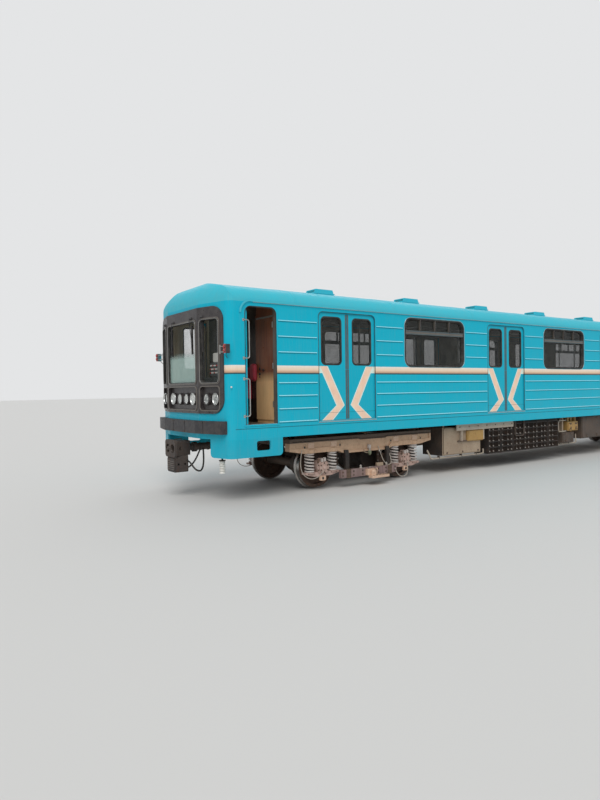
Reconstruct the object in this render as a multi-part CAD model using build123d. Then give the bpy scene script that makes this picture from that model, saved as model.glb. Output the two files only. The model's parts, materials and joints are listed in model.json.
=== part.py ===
from build123d import *
import os
from math import atan2, cos, radians, sin, tan

os.makedirs("parts", exist_ok=True)

# A head car of a metro train, in millimetres. X runs along the car with the cab at -X, Y across it
# and Z up. Z = 0 is the lowest line of the wheel flanges, and the origin lies midway between the
# faces of the two couplers.

# Running gear
GAUGE = 1520
TREAD_D = 780
FLANGE_H = 28
RIM_W = 130
RIM_T = 62
HUB_W = 170
HUB_R = 132
WEB_T = 32
AXLE_R = 82
WHEEL_SEAT_R = 96
JOURNAL_R = 65
JOURNAL_END_Y = 1082
WHEELBASE = 2100
BOGIE_PITCH = 12600

RAIL_Z = FLANGE_H
AXLE_Z = RAIL_Z + TREAD_D / 2
TREAD_R = TREAD_D / 2
RIM_IN_Y = GAUGE / 2 - 40
RIM_OUT_Y = RIM_IN_Y + RIM_W

# Lengths along the car, measured from the point midway between the bogies
FACE_REACH = 9580
REAR_FACE_REACH = 9385
FRONT_COUPLER_OUT = 270
REAR_COUPLER_OUT = 235
FIRST_DOOR_IN = 1490
LAST_DOOR_IN = 2425
DOOR_COUNT = 4
FRONT_REACH = FACE_REACH + FRONT_COUPLER_OUT
REAR_REACH = REAR_FACE_REACH + REAR_COUPLER_OUT
MID_X = (FRONT_REACH - REAR_REACH) / 2
FACE_X = MID_X - FACE_REACH
REAR_X = MID_X + REAR_FACE_REACH
BOGIE_XS = [MID_X - BOGIE_PITCH / 2, MID_X + BOGIE_PITCH / 2]
CAB_DOOR_X = FACE_X + 780
PARTITION_X = FACE_X + 1130
DOOR_PITCH = (REAR_X - LAST_DOOR_IN - PARTITION_X - FIRST_DOOR_IN) / (DOOR_COUNT - 1)
DOOR_XS = [PARTITION_X + FIRST_DOOR_IN + n * DOOR_PITCH for n in range(DOOR_COUNT)]
WINDOW_XS = [x + DOOR_PITCH / 2 for x in DOOR_XS[:-1]]
END_WINDOW_X = REAR_X - 625

# Heights over the rail
SKIRT_Z = RAIL_Z + 1020
FLOOR_Z = RAIL_Z + 1242
SILL_Z = RAIL_Z + 1254
DOORWAY_TOP_Z = RAIL_Z + 3180
EAVES_Z = RAIL_Z + 3250
ROOF_SPRING_Z = EAVES_Z + 12
ROOF_Z = RAIL_Z + 3672
WINDOW_LOW_Z = RAIL_Z + 2250
WINDOW_HIGH_Z = RAIL_Z + 3170
VENT_BAR_Z = RAIL_Z + 2907
COUPLER_Z = RAIL_Z + 830

# Body shell
BODY_W = 2700
WALL_T = 110
FRONT_T = 60
ROOF_T = 60
END_T = 90
ROOF_CORNER_R = 240
NOSE_SWEEP = 15
FACET_Y = 630
NOSE_CORNER_R = 150
FACET_R = 110
END_CORNER_R = 90
DOME_R = 380
CAB_SPLIT_X = CAB_DOOR_X - 440
FLOOR_T = 70
GUTTER_OUT = 24
GUTTER_H = 34
RIB_OUT = 10
RIB_H = 34

# Doorways and sliding leaves, which run into pockets inside the side walls
DOORWAY_W = 1325
DOORWAY_R = 95
LEAF_T = 34
LEAF_CLEAR = 6
LEAF_LAP = 28
LEAF_SHOWS = 32.5
LEAF_TRAVEL = DOORWAY_W / 2 - LEAF_SHOWS
LEAF_TOP_LAP = 30
LEAF_WINDOW_W = 430
LEAF_WINDOW_OUT = 25
LEAF_WINDOW_LOW_Z = RAIL_Z + 2262
LEAF_WINDOW_HIGH_Z = RAIL_Z + 3085
LEAF_WINDOW_R = 70
SKIN_T = 20
PANEL_GAP = 1
PANE_T = 6
PANE_GROOVE = 12
PANE_GAP = 1

LEAF_OUT_Y = BODY_W / 2 - SKIN_T - LEAF_CLEAR
POCKET_OUT_Y = BODY_W / 2 - SKIN_T
POCKET_IN_Y = POCKET_OUT_Y - LEAF_T - 2 * LEAF_CLEAR
LEAF_W = DOORWAY_W / 2 + LEAF_LAP - LEAF_CLEAR / 2
POCKET_REACH = DOORWAY_W / 2 + LEAF_LAP + LEAF_TRAVEL + LEAF_CLEAR
LEAF_LOW_Z = SILL_Z + LEAF_CLEAR
LEAF_HIGH_Z = DOORWAY_TOP_Z + LEAF_TOP_LAP

# Windows
WINDOW_MARGIN = 140
WINDOW_W = DOOR_PITCH - 2 * POCKET_REACH - 2 * WINDOW_MARGIN
WINDOW_R = 140
END_WINDOW_W = 560
GLASS_T = 8
GLASS_IN = 14
BAR_W = 80
MULLION_W = 24

# Cab doors, which open inwards on their front edge
CAB_DOORWAY_W = 600
CAB_DOORWAY_R = 110
CAB_LEAF_T = 40
CAB_LEAF_GAP = 7
CAB_LEAF_IN = 12
CAB_WINDOW_W = 360
CAB_WINDOW_LOW_Z = RAIL_Z + 2250

# Nose mask with its windows, lamps and the strip below it
MASK_PROUD = 24
MASK_HALF_W = 1225
MASK_LOW_Z = RAIL_Z + 1440
MASK_HIGH_Z = RAIL_Z + 3190
MASK_R = 240
SCREEN_LOW_Z = RAIL_Z + 1941
SCREEN_HIGH_Z = RAIL_Z + 2990
SCREEN_HALF_W = 575
SCREEN_R = 60
SIDE_SCREEN_IN_Y = 695
SIDE_SCREEN_OUT_Y = 1140
LAMP_BAY_LOW_Z = RAIL_Z + 1500
LAMP_BAY_HIGH_Z = RAIL_Z + 1880
LAMP_BAY_DEPTH = 48
LAMP_BAY_R = 50
BAY_RIM_W = 20
BAY_RIM_OUT = 9
LAMP_Z = RAIL_Z + 1680
LAMP_R = 92
LAMP_LIP = 12
LENS_RISE = 18
LAMP_YS = (135, 410, 815, 1030)
STRIP_OUT = 100
STRIP_LOW_Z = RAIL_Z + 1112
STRIP_HIGH_Z = RAIL_Z + 1322
STRIP_HALF_W = 1270
STRIP_SEAM_YS = (-840, -240, 240, 840)
STRIP_SEAM_W = 16
APRON_LOW_Z = RAIL_Z + 718
APRON_T = 36
APRON_IN_Y = 880
APRON_REAR_X = PARTITION_X + 50
APRON_R = 70
APRON_HOLE_X = CAB_DOOR_X + 27
APRON_HOLE_W = 268
APRON_HOLE_Z = RAIL_Z + 900
APRON_HOLE_H = 160

# Bogie
BEAM_HALF_L = 1780
BEAM_T = 150
BEAM_Y = 1000
BEAM_TOP_Z = RAIL_Z + 935
BEAM_LOW_Z = RAIL_Z + 612
BEAM_END_H = 215
SPRING_TOP_Z = RAIL_Z + 665
SPRING_SEAT_Z = RAIL_Z + 312
SPRING_OFFSET = 258
SPRING_R = 94
SPRING_WIRE_R = 19
SPRING_COILS = 4
BOX_R = 132
BOX_IN_Y = 905
BOX_OUT_Y = 1104
BOX_WING = 385
BOX_WING_T = 34
BOX_WEB_DROP = 46
SEAT_R = SPRING_R + 8
SEAT_T = 16
CAP_R = SPRING_R + 14
CAP_H = 70
POCKET_DEPTH = 18
FLANGE_W = 42
JOURNAL_GAP = 0.5
TRANSOM_X = 340
TRANSOM_W = 160
TRANSOM_LOW_Z = RAIL_Z + 640
TRANSOM_TOP_Z = RAIL_Z + 860
BOLSTER_TOP_Z = RAIL_Z + 960
PIVOT_R = 230
PIVOT_GAP = 8
MOTOR_LEN = 780
MOTOR_R = 250
MOTOR_X = 640
GEAR_CASE_R = 225
GEAR_CASE_T = 150
SHOE_BEAM_HALF_L = 700
SHOE_BEAM_LOW_Z = RAIL_Z + 160
SHOE_BEAM_H = 150
SHOE_BEAM_Y = 1130
SHOE_BEAM_T = 70
SHOE_REACH_Y = 1330
SHOE_HANGER_XS = (-520, 520)
SHOE_PAD_X = 150
SHOE_PAD_L = 440

# Brakes
BRAKE_Y = 804
BRAKE_W = 76
BRAKE_T = 48
SHOE_GAP = 7
BRAKE_ARC = 18
CYLINDER_R = 75
CYLINDER_L = 120
CYLINDER_Z = RAIL_Z + 730

# Couplers
COUPLER_PIVOT_BACK = 1130
COUPLER_SHANK_R = 62
COUPLER_HEAD_W = 420
COUPLER_HEAD_H = 300
COUPLER_HEAD_L = 330
COUPLER_PIN_R = 45
COUPLER_EYE_R = 95
COUPLER_EYE_H = 2 * COUPLER_SHANK_R + 6
COUPLER_GAP = 6
COUPLER_PLATE_T = 46
FUNNEL_R = 76
FUNNEL_DEPTH = 130
CONE_H = 44
CONTACT_BOX_W = 340
CONTACT_BOX_H = 260


def block(x0, x1, y0, y1, z0, z1):
    """A box between two corners, given in any order."""
    size = Box(abs(x1 - x0), abs(y1 - y0), abs(z1 - z0))
    return Pos((x0 + x1) / 2, (y0 + y1) / 2, (z0 + z1) / 2) * size


def rod_x(x0, x1, y, z, radius):
    return Pos((x0 + x1) / 2, y, z) * Rot(0, 90, 0) * Cylinder(radius, abs(x1 - x0))


def rod_y(x, y0, y1, z, radius):
    return Pos(x, (y0 + y1) / 2, z) * Rot(90, 0, 0) * Cylinder(radius, abs(y1 - y0))


def rod_z(x, y, z0, z1, radius):
    return Pos(x, y, (z0 + z1) / 2) * Cylinder(radius, abs(z1 - z0))


def side_prism(x, z0, z1, width, corner_r, y0, y1):
    """A rounded rectangle on a side wall, cut along Y from y0 to y1."""
    outline = RectangleRounded(width, z1 - z0, corner_r)
    plane = Plane(origin=(x, max(y0, y1), (z0 + z1) / 2), x_dir=(1, 0, 0), z_dir=(0, -1, 0))
    return extrude(plane * outline, abs(y1 - y0))


def arched_prism(x, z0, z1, width, corner_r, y0, y1):
    """As side_prism, with square corners at the foot."""
    rounded = side_prism(x, z0, z1, width, corner_r, y0, y1)
    return rounded + block(x - width / 2, x + width / 2, y0, y1, z0, z0 + (z1 - z0) / 2)


def end_prism(y, z0, z1, width, corner_r, x0, x1):
    """A rounded rectangle on an end of the car, cut along X from x0 to x1."""
    outline = RectangleRounded(width, z1 - z0, corner_r)
    plane = Plane(origin=(min(x0, x1), y, (z0 + z1) / 2), x_dir=(0, 1, 0), z_dir=(1, 0, 0))
    return extrude(plane * outline, abs(x1 - x0))


def body_section(side_t, top_t):
    """Outline across the car, a straight-sided box under a tangent crown, inset by two thicknesses."""
    half = BODY_W / 2 - side_t
    top = ROOF_Z - top_t
    corner = ROOF_CORNER_R - min(side_t, top_t)
    run = half - corner
    rise = top - ROOF_SPRING_Z
    crown_r = (run**2 + rise**2 - corner**2) / (2 * (rise - corner))
    lean = atan2(run, ROOF_SPRING_Z - top + crown_r)
    meet = (crown_r * sin(lean), top - crown_r * (1 - cos(lean)))
    mid = (radians(90) - lean) / 2
    knee = (run + corner * cos(mid), ROOF_SPRING_Z + corner * sin(mid))
    edge = Polyline((-half, ROOF_SPRING_Z), (-half, 0), (half, 0), (half, ROOF_SPRING_Z))
    edge += ThreePointArc((half, ROOF_SPRING_Z), knee, meet)
    edge += ThreePointArc(meet, (0, top), (-meet[0], meet[1]))
    edge += ThreePointArc((-meet[0], meet[1]), (-knee[0], knee[1]), (-half, ROOF_SPRING_Z))
    return Plane.YZ * make_face(edge)


def nose_plan(side_t, front_t, end_t, rounded):
    """Plan of the car with its three-sided nose, inset by three thicknesses (negative: outwards)."""
    half = BODY_W / 2 - side_t
    sweep = radians(NOSE_SWEEP)
    facet_y = FACET_Y - front_t * tan(sweep / 2)
    front_x = FACE_X + front_t
    corner_x = FACE_X + front_t / cos(sweep) + (half - FACET_Y) * tan(sweep)
    rear_x = REAR_X - end_t
    corners = Polyline(
        (rear_x, -half), (rear_x, half), (corner_x, half), (front_x, facet_y),
        (front_x, -facet_y), (corner_x, -half), close=True,
    )
    face = make_face(corners)
    if not rounded:
        return face
    ends = face.vertices().group_by(Axis.X)
    face = fillet(ends[0], FACET_R - front_t)
    sides = face.vertices().filter_by(lambda v: abs(abs(v.Y) - half) < 1 and v.X < MID_X)
    face = fillet(sides, NOSE_CORNER_R - front_t)
    return face


def nose_solid(side_t, front_t, end_t, z0, z1, rounded=True):
    return Pos(0, 0, z0) * extrude(nose_plan(side_t, front_t, end_t, rounded), z1 - z0)


def dome_prisms(front_t, top_t):
    """Three prisms whose rounded front edge turns each nose facet over into the roof."""
    top = ROOF_Z - top_t
    reach = 1.2 * (REAR_X - FACE_X)
    radius = DOME_R - max(front_t, top_t)
    outline = make_face(Polyline((front_t, 0), (front_t, top), (reach, top), (reach, 0), close=True))
    front_top = outline.vertices().filter_by(lambda v: abs(v.X - front_t) < 1 and v.Y > 1)
    outline = fillet(front_top, radius)
    prism = extrude(Plane.XZ * outline, reach, both=True)
    turned = []
    for side in (-1, 1):
        turned.append(Pos(FACE_X, side * FACET_Y, 0) * Rot(0, 0, -side * NOSE_SWEEP) * prism)
    return [Pos(FACE_X, 0, 0) * prism] + turned


def body_solid(side_t, front_t, end_t, top_t, rounded=True):
    """The car body as one block, inset by the wall, front, end and roof thicknesses."""
    section = body_section(side_t, top_t)
    length = REAR_X - FACE_X
    solid = Pos(FACE_X, 0, 0) * extrude(section, length + 10)
    solid = solid & nose_solid(side_t, front_t, end_t, 0, ROOF_Z + 10, rounded)
    for prism in dome_prisms(front_t, top_t):
        solid = solid & prism
    return solid


def both_sides(solid):
    return [solid, solid.mirror(Plane.XZ)]


def save(name, solids):
    """One STEP file for one named piece or set of like pieces."""
    solids = solids if isinstance(solids, list) else [solids]
    singles = []
    for item in solids:
        singles += list(item.solids())
    shape = singles[0] if len(singles) == 1 else Compound(children=singles)
    shape.label = name
    export_step(shape, f"parts/{name}.step")


# Body shell: roof, nose, sides and rear end
outer = body_solid(0, 0, 0, 0)
inner = body_solid(WALL_T, FRONT_T, END_T, ROOF_T, rounded=False)
END_SPLIT_X = REAR_X - END_T

roof = (outer - inner) & block(FACE_X - 50, REAR_X + 50, -BODY_W, BODY_W, EAVES_Z, ROOF_Z + 50)

# The gutter turns down over the front corner of the cab doorway
turn_x = CAB_DOOR_X - CAB_DOORWAY_W / 2 + CAB_DOORWAY_R
turn_z = DOORWAY_TOP_Z - CAB_DOORWAY_R
turn_r = EAVES_Z + GUTTER_H - turn_z
gutter_y = BODY_W / 2 + GUTTER_OUT
gutter = block(turn_x, REAR_X - END_CORNER_R, BODY_W / 2 - 8, gutter_y, EAVES_Z, EAVES_Z + GUTTER_H)
turn = rod_y(turn_x, BODY_W / 2, gutter_y, turn_z, turn_r)
turn -= rod_y(turn_x, BODY_W / 2 - 10, gutter_y + 10, turn_z, turn_r - GUTTER_H * 0.8)
turn = turn & block(turn_x - 2 * turn_r, turn_x, BODY_W / 2, gutter_y, turn_z, turn_z + 2 * turn_r)
for side in both_sides(gutter + turn):
    roof += side

# Roof ventilation hoods: two rows of low wedges over the saloon
HOOD_L = 520
HOOD_W = 300
HOOD_H = 70
HOOD_Y = 520
HOOD_SINK = 120
HOOD_PITCH = DOOR_PITCH / 2
HOOD_COUNT = 7
HOOD_SLOTS = (-16, 8)
HOOD_SLOT_H = 12


def roof_hood(x, y):
    low_z = ROOF_Z - HOOD_SINK
    outline = Polyline(
        (-HOOD_L / 2, low_z), (HOOD_L / 2, low_z), (HOOD_L / 2 - 60, ROOF_Z - 30 + HOOD_H),
        (-HOOD_L / 2 + 60, ROOF_Z - 30 + HOOD_H), close=True,
    )
    hood = Pos(x, y, 0) * extrude(Plane.XZ * make_face(outline), HOOD_W / 2, both=True)
    for z in HOOD_SLOTS:
        hood -= block(x - HOOD_L, x + HOOD_L, y - HOOD_W / 2 + 24, y + HOOD_W / 2 - 24,
                      ROOF_Z + z, ROOF_Z + z + HOOD_SLOT_H)
    return hood


hoods = []
for n in range(HOOD_COUNT):
    x = MID_X + (n - (HOOD_COUNT - 1) / 2) * HOOD_PITCH
    hoods += [roof_hood(x, HOOD_Y), roof_hood(x, -HOOD_Y)]
for hood in hoods:
    roof += hood - inner
save("roof", roof)

# Sides: planks as thick as the wall, with doorways, door pockets and windows cut, and pressed ribs
RIB_ZS_LOW = [RAIL_Z + h for h in (1269, 1488, 1709, 1926)]
RIB_ZS_HIGH = [RAIL_Z + h for h in (2444, 2707, 2971)]
SIDE_X0 = CAB_SPLIT_X
SIDE_X1 = END_SPLIT_X
# x of the centre, width, mullions over the vent bar
SIDE_WINDOWS = [(x, WINDOW_W, 3) for x in WINDOW_XS] + [(END_WINDOW_X, END_WINDOW_W, 1)]


def rib_spans(heights_low):
    """Start and end of each ribbed stretch: below the windows, or only between the openings."""
    gap = 38
    spans = []
    edges = [CAB_DOOR_X + CAB_DOORWAY_W / 2] + DOOR_XS + [SIDE_X1]
    for n in range(len(edges) - 1):
        start = edges[n] + (DOORWAY_W / 2 if n > 0 else 0) + gap
        end = edges[n + 1] - (DOORWAY_W / 2 if n < len(edges) - 2 else 0) - gap
        if heights_low or n == 0:
            spans.append((start, end))
            continue
        window_x = WINDOW_XS[n - 1] if n <= len(WINDOW_XS) else END_WINDOW_X
        window_w = WINDOW_W if n <= len(WINDOW_XS) else END_WINDOW_W
        spans.append((start, window_x - window_w / 2 - 2 * gap))
        spans.append((window_x + window_w / 2 + 2 * gap, end))
    return spans


def pressed_rib(start, end, z):
    """A rib pressed out of the far wall, with sloping flanks."""
    flank = RIB_H * 0.28
    outline = Polyline(
        (BODY_W / 2 - 2, z - RIB_H / 2), (BODY_W / 2 + RIB_OUT, z - RIB_H / 2 + flank),
        (BODY_W / 2 + RIB_OUT, z + RIB_H / 2 - flank), (BODY_W / 2 - 2, z + RIB_H / 2), close=True,
    )
    return Pos(start, 0, 0) * extrude(Plane.YZ * make_face(outline), end - start)


def side_wall():
    out_y = BODY_W / 2
    in_y = out_y - WALL_T
    wall = block(SIDE_X0, SIDE_X1, in_y, out_y, SKIRT_Z, EAVES_Z)
    for low, heights in ((True, RIB_ZS_LOW), (False, RIB_ZS_HIGH)):
        for z in heights:
            for start, end in rib_spans(low):
                wall += pressed_rib(start, end, z)
    past = 40
    for x in DOOR_XS:
        wall -= arched_prism(x, SILL_Z, DOORWAY_TOP_Z, DOORWAY_W, DOORWAY_R, in_y - past, out_y + past)
        wall -= block(x - POCKET_REACH, x + POCKET_REACH, POCKET_IN_Y, POCKET_OUT_Y, SILL_Z, LEAF_HIGH_Z + LEAF_CLEAR)
    wall -= arched_prism(CAB_DOOR_X, SILL_Z, DOORWAY_TOP_Z, CAB_DOORWAY_W, CAB_DOORWAY_R, in_y - past, out_y + past)
    cab_edges = (CAB_DOOR_X - CAB_DOORWAY_W / 2, CAB_DOOR_X + CAB_DOORWAY_W / 2)
    wall -= block(*cab_edges, in_y - past, out_y - CAB_LEAF_IN - CAB_LEAF_T, SILL_Z, DOORWAY_TOP_Z)
    # bays, lintels and sills are panels of their own, parted by a fine seam at each doorway edge
    panel_edges = list(cab_edges) + [x + hand * DOORWAY_W / 2 for x in DOOR_XS for hand in (-1, 1)]
    for x in panel_edges:
        wall -= block(x - PANEL_GAP / 2, x + PANEL_GAP / 2, in_y - past, out_y + past, SKIRT_Z - past, EAVES_Z + past)
    for x, width, mullions in SIDE_WINDOWS:
        wall -= side_prism(x, WINDOW_LOW_Z, WINDOW_HIGH_Z, width, WINDOW_R, in_y - past, out_y + past)
        bar_y = (out_y - GLASS_IN - 30, out_y - GLASS_IN + 8)
        wall += block(x - width / 2, x + width / 2, *bar_y, VENT_BAR_Z - BAR_W / 2, VENT_BAR_Z + BAR_W / 2)
        for n in range(mullions):
            mullion_x = x + width * ((n + 1) / (mullions + 1) - 0.5)
            wall += block(mullion_x - MULLION_W / 2, mullion_x + MULLION_W / 2, *bar_y, VENT_BAR_Z, WINDOW_HIGH_Z)
    return wall


side_far = side_wall()
save("side_wall_far", side_far)
save("side_wall_near", side_far.mirror(Plane.XZ))

# Nose shell below the roof, and the mask that fills its opening
nose_zone = block(FACE_X - 300, CAB_SPLIT_X, -BODY_W, BODY_W, SKIRT_Z, EAVES_Z)
nose_shell = (outer - inner) & nose_zone
mask_outline = end_prism(0, MASK_LOW_Z, MASK_HIGH_Z, 2 * MASK_HALF_W, MASK_R, FACE_X - 300, CAB_SPLIT_X)
nose_shell -= mask_outline
save("nose_shell", nose_shell)

mask = nose_solid(-MASK_PROUD, -MASK_PROUD, 0, SKIRT_Z, EAVES_Z)
mask -= nose_solid(WALL_T, FRONT_T, END_T, SKIRT_Z - 10, EAVES_Z + 10)
mask = mask & mask_outline
SIDE_SCREEN_Y = (SIDE_SCREEN_IN_Y + SIDE_SCREEN_OUT_Y) / 2
SIDE_SCREEN_W = SIDE_SCREEN_OUT_Y - SIDE_SCREEN_IN_Y
# y centre, width
SCREENS = [(0, 2 * SCREEN_HALF_W), (-SIDE_SCREEN_Y, SIDE_SCREEN_W), (SIDE_SCREEN_Y, SIDE_SCREEN_W)]
rim_skin = nose_solid(-MASK_PROUD - BAY_RIM_OUT, -MASK_PROUD - BAY_RIM_OUT, 0, SKIRT_Z, EAVES_Z)
rim_skin -= nose_solid(2 - MASK_PROUD, 2 - MASK_PROUD, 0, SKIRT_Z - 10, EAVES_Z + 10)
bay_floor = nose_solid(LAMP_BAY_DEPTH - MASK_PROUD, LAMP_BAY_DEPTH - MASK_PROUD, 0, SKIRT_Z, EAVES_Z)
for y, width in SCREENS:
    for low_z, high_z, radius, floor_solid in (
        (SCREEN_LOW_Z, SCREEN_HIGH_Z, SCREEN_R, None), (LAMP_BAY_LOW_Z, LAMP_BAY_HIGH_Z, LAMP_BAY_R, bay_floor),
    ):
        hole = end_prism(y, low_z, high_z, width, radius, FACE_X - 300, CAB_SPLIT_X)
        rim = end_prism(y, low_z - BAY_RIM_W, high_z + BAY_RIM_W, width + 2 * BAY_RIM_W, radius + BAY_RIM_W,
                        FACE_X - 300, CAB_SPLIT_X)
        mask += rim_skin & rim
        mask -= hole if floor_solid is None else hole - floor_solid
save("nose_mask", mask)


def headlamp(y):
    """Lamp with a raised lip round a domed lens, its back on the floor of the lamp bay."""
    face_x = FACE_X + max(0, y - FACET_Y) * tan(radians(NOSE_SWEEP)) - MASK_PROUD
    outer_r = LAMP_R + LAMP_LIP
    lens_r = LAMP_R - 4
    dome_r = (lens_r**2 + LENS_RISE**2) / (2 * LENS_RISE)
    half_way = (dome_r - (dome_r**2 - (lens_r / 2) ** 2) ** 0.5, lens_r / 2)
    outline = Polyline(
        (0, 0), (400, 0), (400, outer_r), (6, outer_r), (0, outer_r - 5), (0, LAMP_R + 3), (LENS_RISE, lens_r),
    )
    outline += ThreePointArc((LENS_RISE, lens_r), half_way, (0, 0))
    return Pos(face_x, y, LAMP_Z) * revolve(make_face(outline), Axis.X, 360)


lamps = []
for y in LAMP_YS:
    lamps += both_sides(headlamp(y) - bay_floor)
save("headlamps", lamps)

strip_skin = nose_solid(0, 0, 0, SKIRT_Z, EAVES_Z)
strip_core = nose_solid(14 - STRIP_OUT, 14 - STRIP_OUT, 0, SKIRT_Z, EAVES_Z)
strip = nose_solid(-STRIP_OUT, -STRIP_OUT, 0, STRIP_LOW_Z, STRIP_HIGH_Z) - strip_skin
strip = strip & block(FACE_X - 400, FACE_X + 400, -STRIP_HALF_W, STRIP_HALF_W, STRIP_LOW_Z, STRIP_HIGH_Z)
for y in STRIP_SEAM_YS:
    seam = block(FACE_X - 400, FACE_X + 400, y - STRIP_SEAM_W / 2, y + STRIP_SEAM_W / 2, STRIP_LOW_Z, STRIP_HIGH_Z)
    strip -= seam - strip_core
save("nose_strip", strip)

apron_ring = nose_solid(0, 0, 0, APRON_LOW_Z, SKIRT_Z)
apron_ring -= nose_solid(APRON_T, APRON_T, 0, APRON_LOW_Z - 10, SKIRT_Z + 10)
apron_high = SKIRT_Z + 2 * APRON_R
apron = apron_ring & end_prism((APRON_IN_Y + BODY_W) / 2, APRON_LOW_Z, apron_high, BODY_W - APRON_IN_Y, APRON_R,
                               FACE_X - 50, APRON_REAR_X)
apron_len = APRON_REAR_X - FACE_X + 400
apron = apron & side_prism(APRON_REAR_X - apron_len / 2, APRON_LOW_Z, apron_high, apron_len, APRON_R, 0, BODY_W)
apron -= side_prism(APRON_HOLE_X, APRON_HOLE_Z - APRON_HOLE_H / 2, APRON_HOLE_Z + APRON_HOLE_H / 2, APRON_HOLE_W, 30,
                    BODY_W / 2 - 200, BODY_W / 2 + 50)
save("aprons", both_sides(apron))

# Rear end wall with its doorway
END_DOOR_W = 620
END_DOOR_HIGH_Z = RAIL_Z + 3080
END_DOOR_R = 90
END_LEAF_T = 40
END_LEAF_GAP = 8
END_PANE_W = 420
END_PANE_Y = 780
END_PANE_LOW_Z = RAIL_Z + 2150
END_PANE_HIGH_Z = RAIL_Z + 2950

rear_wall = (outer - inner) & block(END_SPLIT_X, REAR_X + 50, -BODY_W, BODY_W, SKIRT_Z, EAVES_Z)
rear_wall -= block(END_SPLIT_X - 50, REAR_X + 50, -END_DOOR_W / 2, END_DOOR_W / 2, FLOOR_Z, END_DOOR_HIGH_Z)
for side in (-1, 1):
    rear_wall -= end_prism(side * END_PANE_Y, END_PANE_LOW_Z, END_PANE_HIGH_Z, END_PANE_W, END_DOOR_R,
                           END_SPLIT_X - 50, REAR_X + 50)
save("rear_wall", rear_wall)

end_leaf = block(REAR_X - END_LEAF_T - 10, REAR_X - 10, -END_DOOR_W / 2 + END_LEAF_GAP, END_DOOR_W / 2 - END_LEAF_GAP,
                 FLOOR_Z + END_LEAF_GAP, END_DOOR_HIGH_Z - END_LEAF_GAP)
end_leaf -= end_prism(0, END_PANE_LOW_Z, END_PANE_HIGH_Z - 60, END_DOOR_W - 220, 60, END_SPLIT_X - 50, REAR_X + 50)
END_HINGE_X = REAR_X - 10 - END_LEAF_T / 2
END_HINGE_Y = END_DOOR_W / 2 - END_LEAF_GAP - END_LEAF_T / 2
end_hinge = rod_z(END_HINGE_X, END_HINGE_Y, FLOOR_Z, END_DOOR_HIGH_Z, END_LEAF_T / 2)
end_leaf = end_leaf & (end_hinge + block(REAR_X - 100, REAR_X, -END_DOOR_W, END_HINGE_Y, FLOOR_Z, END_DOOR_HIGH_Z))
save("rear_door", end_leaf)

# Fixed glass of the sides, the mask and the rear end
glass_out_y = BODY_W / 2 - GLASS_IN
glass = []
for x, width, mullions in SIDE_WINDOWS:
    pane = side_prism(x, WINDOW_LOW_Z, WINDOW_HIGH_Z, width, WINDOW_R, glass_out_y - GLASS_T - 30, glass_out_y - 30)
    glass += both_sides(pane)
screen_skin = nose_solid(0, 0, 0, SKIRT_Z, EAVES_Z) - nose_solid(GLASS_T, GLASS_T, 0, SKIRT_Z - 10, EAVES_Z + 10)
for y, width in SCREENS:
    glass.append(screen_skin & end_prism(y, SCREEN_LOW_Z, SCREEN_HIGH_Z, width, SCREEN_R, FACE_X - 300, CAB_SPLIT_X))
for side in (-1, 1):
    glass.append(end_prism(side * END_PANE_Y, END_PANE_LOW_Z, END_PANE_HIGH_Z, END_PANE_W, END_DOOR_R,
                           REAR_X - 40, REAR_X - 40 + GLASS_T))
save("glazing", glass)

# Sliding door leaves
for n, x in enumerate(DOOR_XS):
    for side_name, side in (("near", -1), ("far", 1)):
        for hand_name, hand in (("front", -1), ("rear", 1)):
            meet_x = x + hand * LEAF_CLEAR / 2
            leaf = block(meet_x, meet_x + hand * LEAF_W, side * (LEAF_OUT_Y - LEAF_T), side * LEAF_OUT_Y,
                         LEAF_LOW_Z, LEAF_HIGH_Z)
            mid_x = x + hand * (DOORWAY_W / 4 + LEAF_WINDOW_OUT)
            mid_y = side * (LEAF_OUT_Y - LEAF_T / 2)
            leaf -= side_prism(mid_x, LEAF_WINDOW_LOW_Z, LEAF_WINDOW_HIGH_Z, LEAF_WINDOW_W, LEAF_WINDOW_R,
                               mid_y - LEAF_T, mid_y + LEAF_T)
            half_w = LEAF_WINDOW_W / 2 + PANE_GROOVE
            slot_t = PANE_T / 2 + PANE_GAP
            leaf -= block(mid_x - half_w, mid_x + half_w, mid_y - slot_t, mid_y + slot_t,
                          LEAF_WINDOW_LOW_Z - PANE_GROOVE, LEAF_WINDOW_HIGH_Z + PANE_GROOVE)
            pane = block(mid_x - half_w + PANE_GAP, mid_x + half_w - PANE_GAP, mid_y - PANE_T / 2, mid_y + PANE_T / 2,
                         LEAF_WINDOW_LOW_Z - PANE_GROOVE + PANE_GAP, LEAF_WINDOW_HIGH_Z + PANE_GROOVE - PANE_GAP)
            save(f"door_{n + 1}_{side_name}_{hand_name}", [leaf, pane])

# Cab doors, the near one standing open as it is used, the far one shut
KNUCKLE_R = 12
KNUCKLE_L = 240
KNUCKLES = 3
CAB_HINGE_X = CAB_DOOR_X - CAB_DOORWAY_W / 2 + CAB_LEAF_GAP + KNUCKLE_R
CAB_LEAF_W = CAB_DOORWAY_W - 2 * CAB_LEAF_GAP
CAB_HINGE_Y = BODY_W / 2 - CAB_LEAF_IN - CAB_LEAF_T
CAB_OPEN_ANGLE = 90


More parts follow.
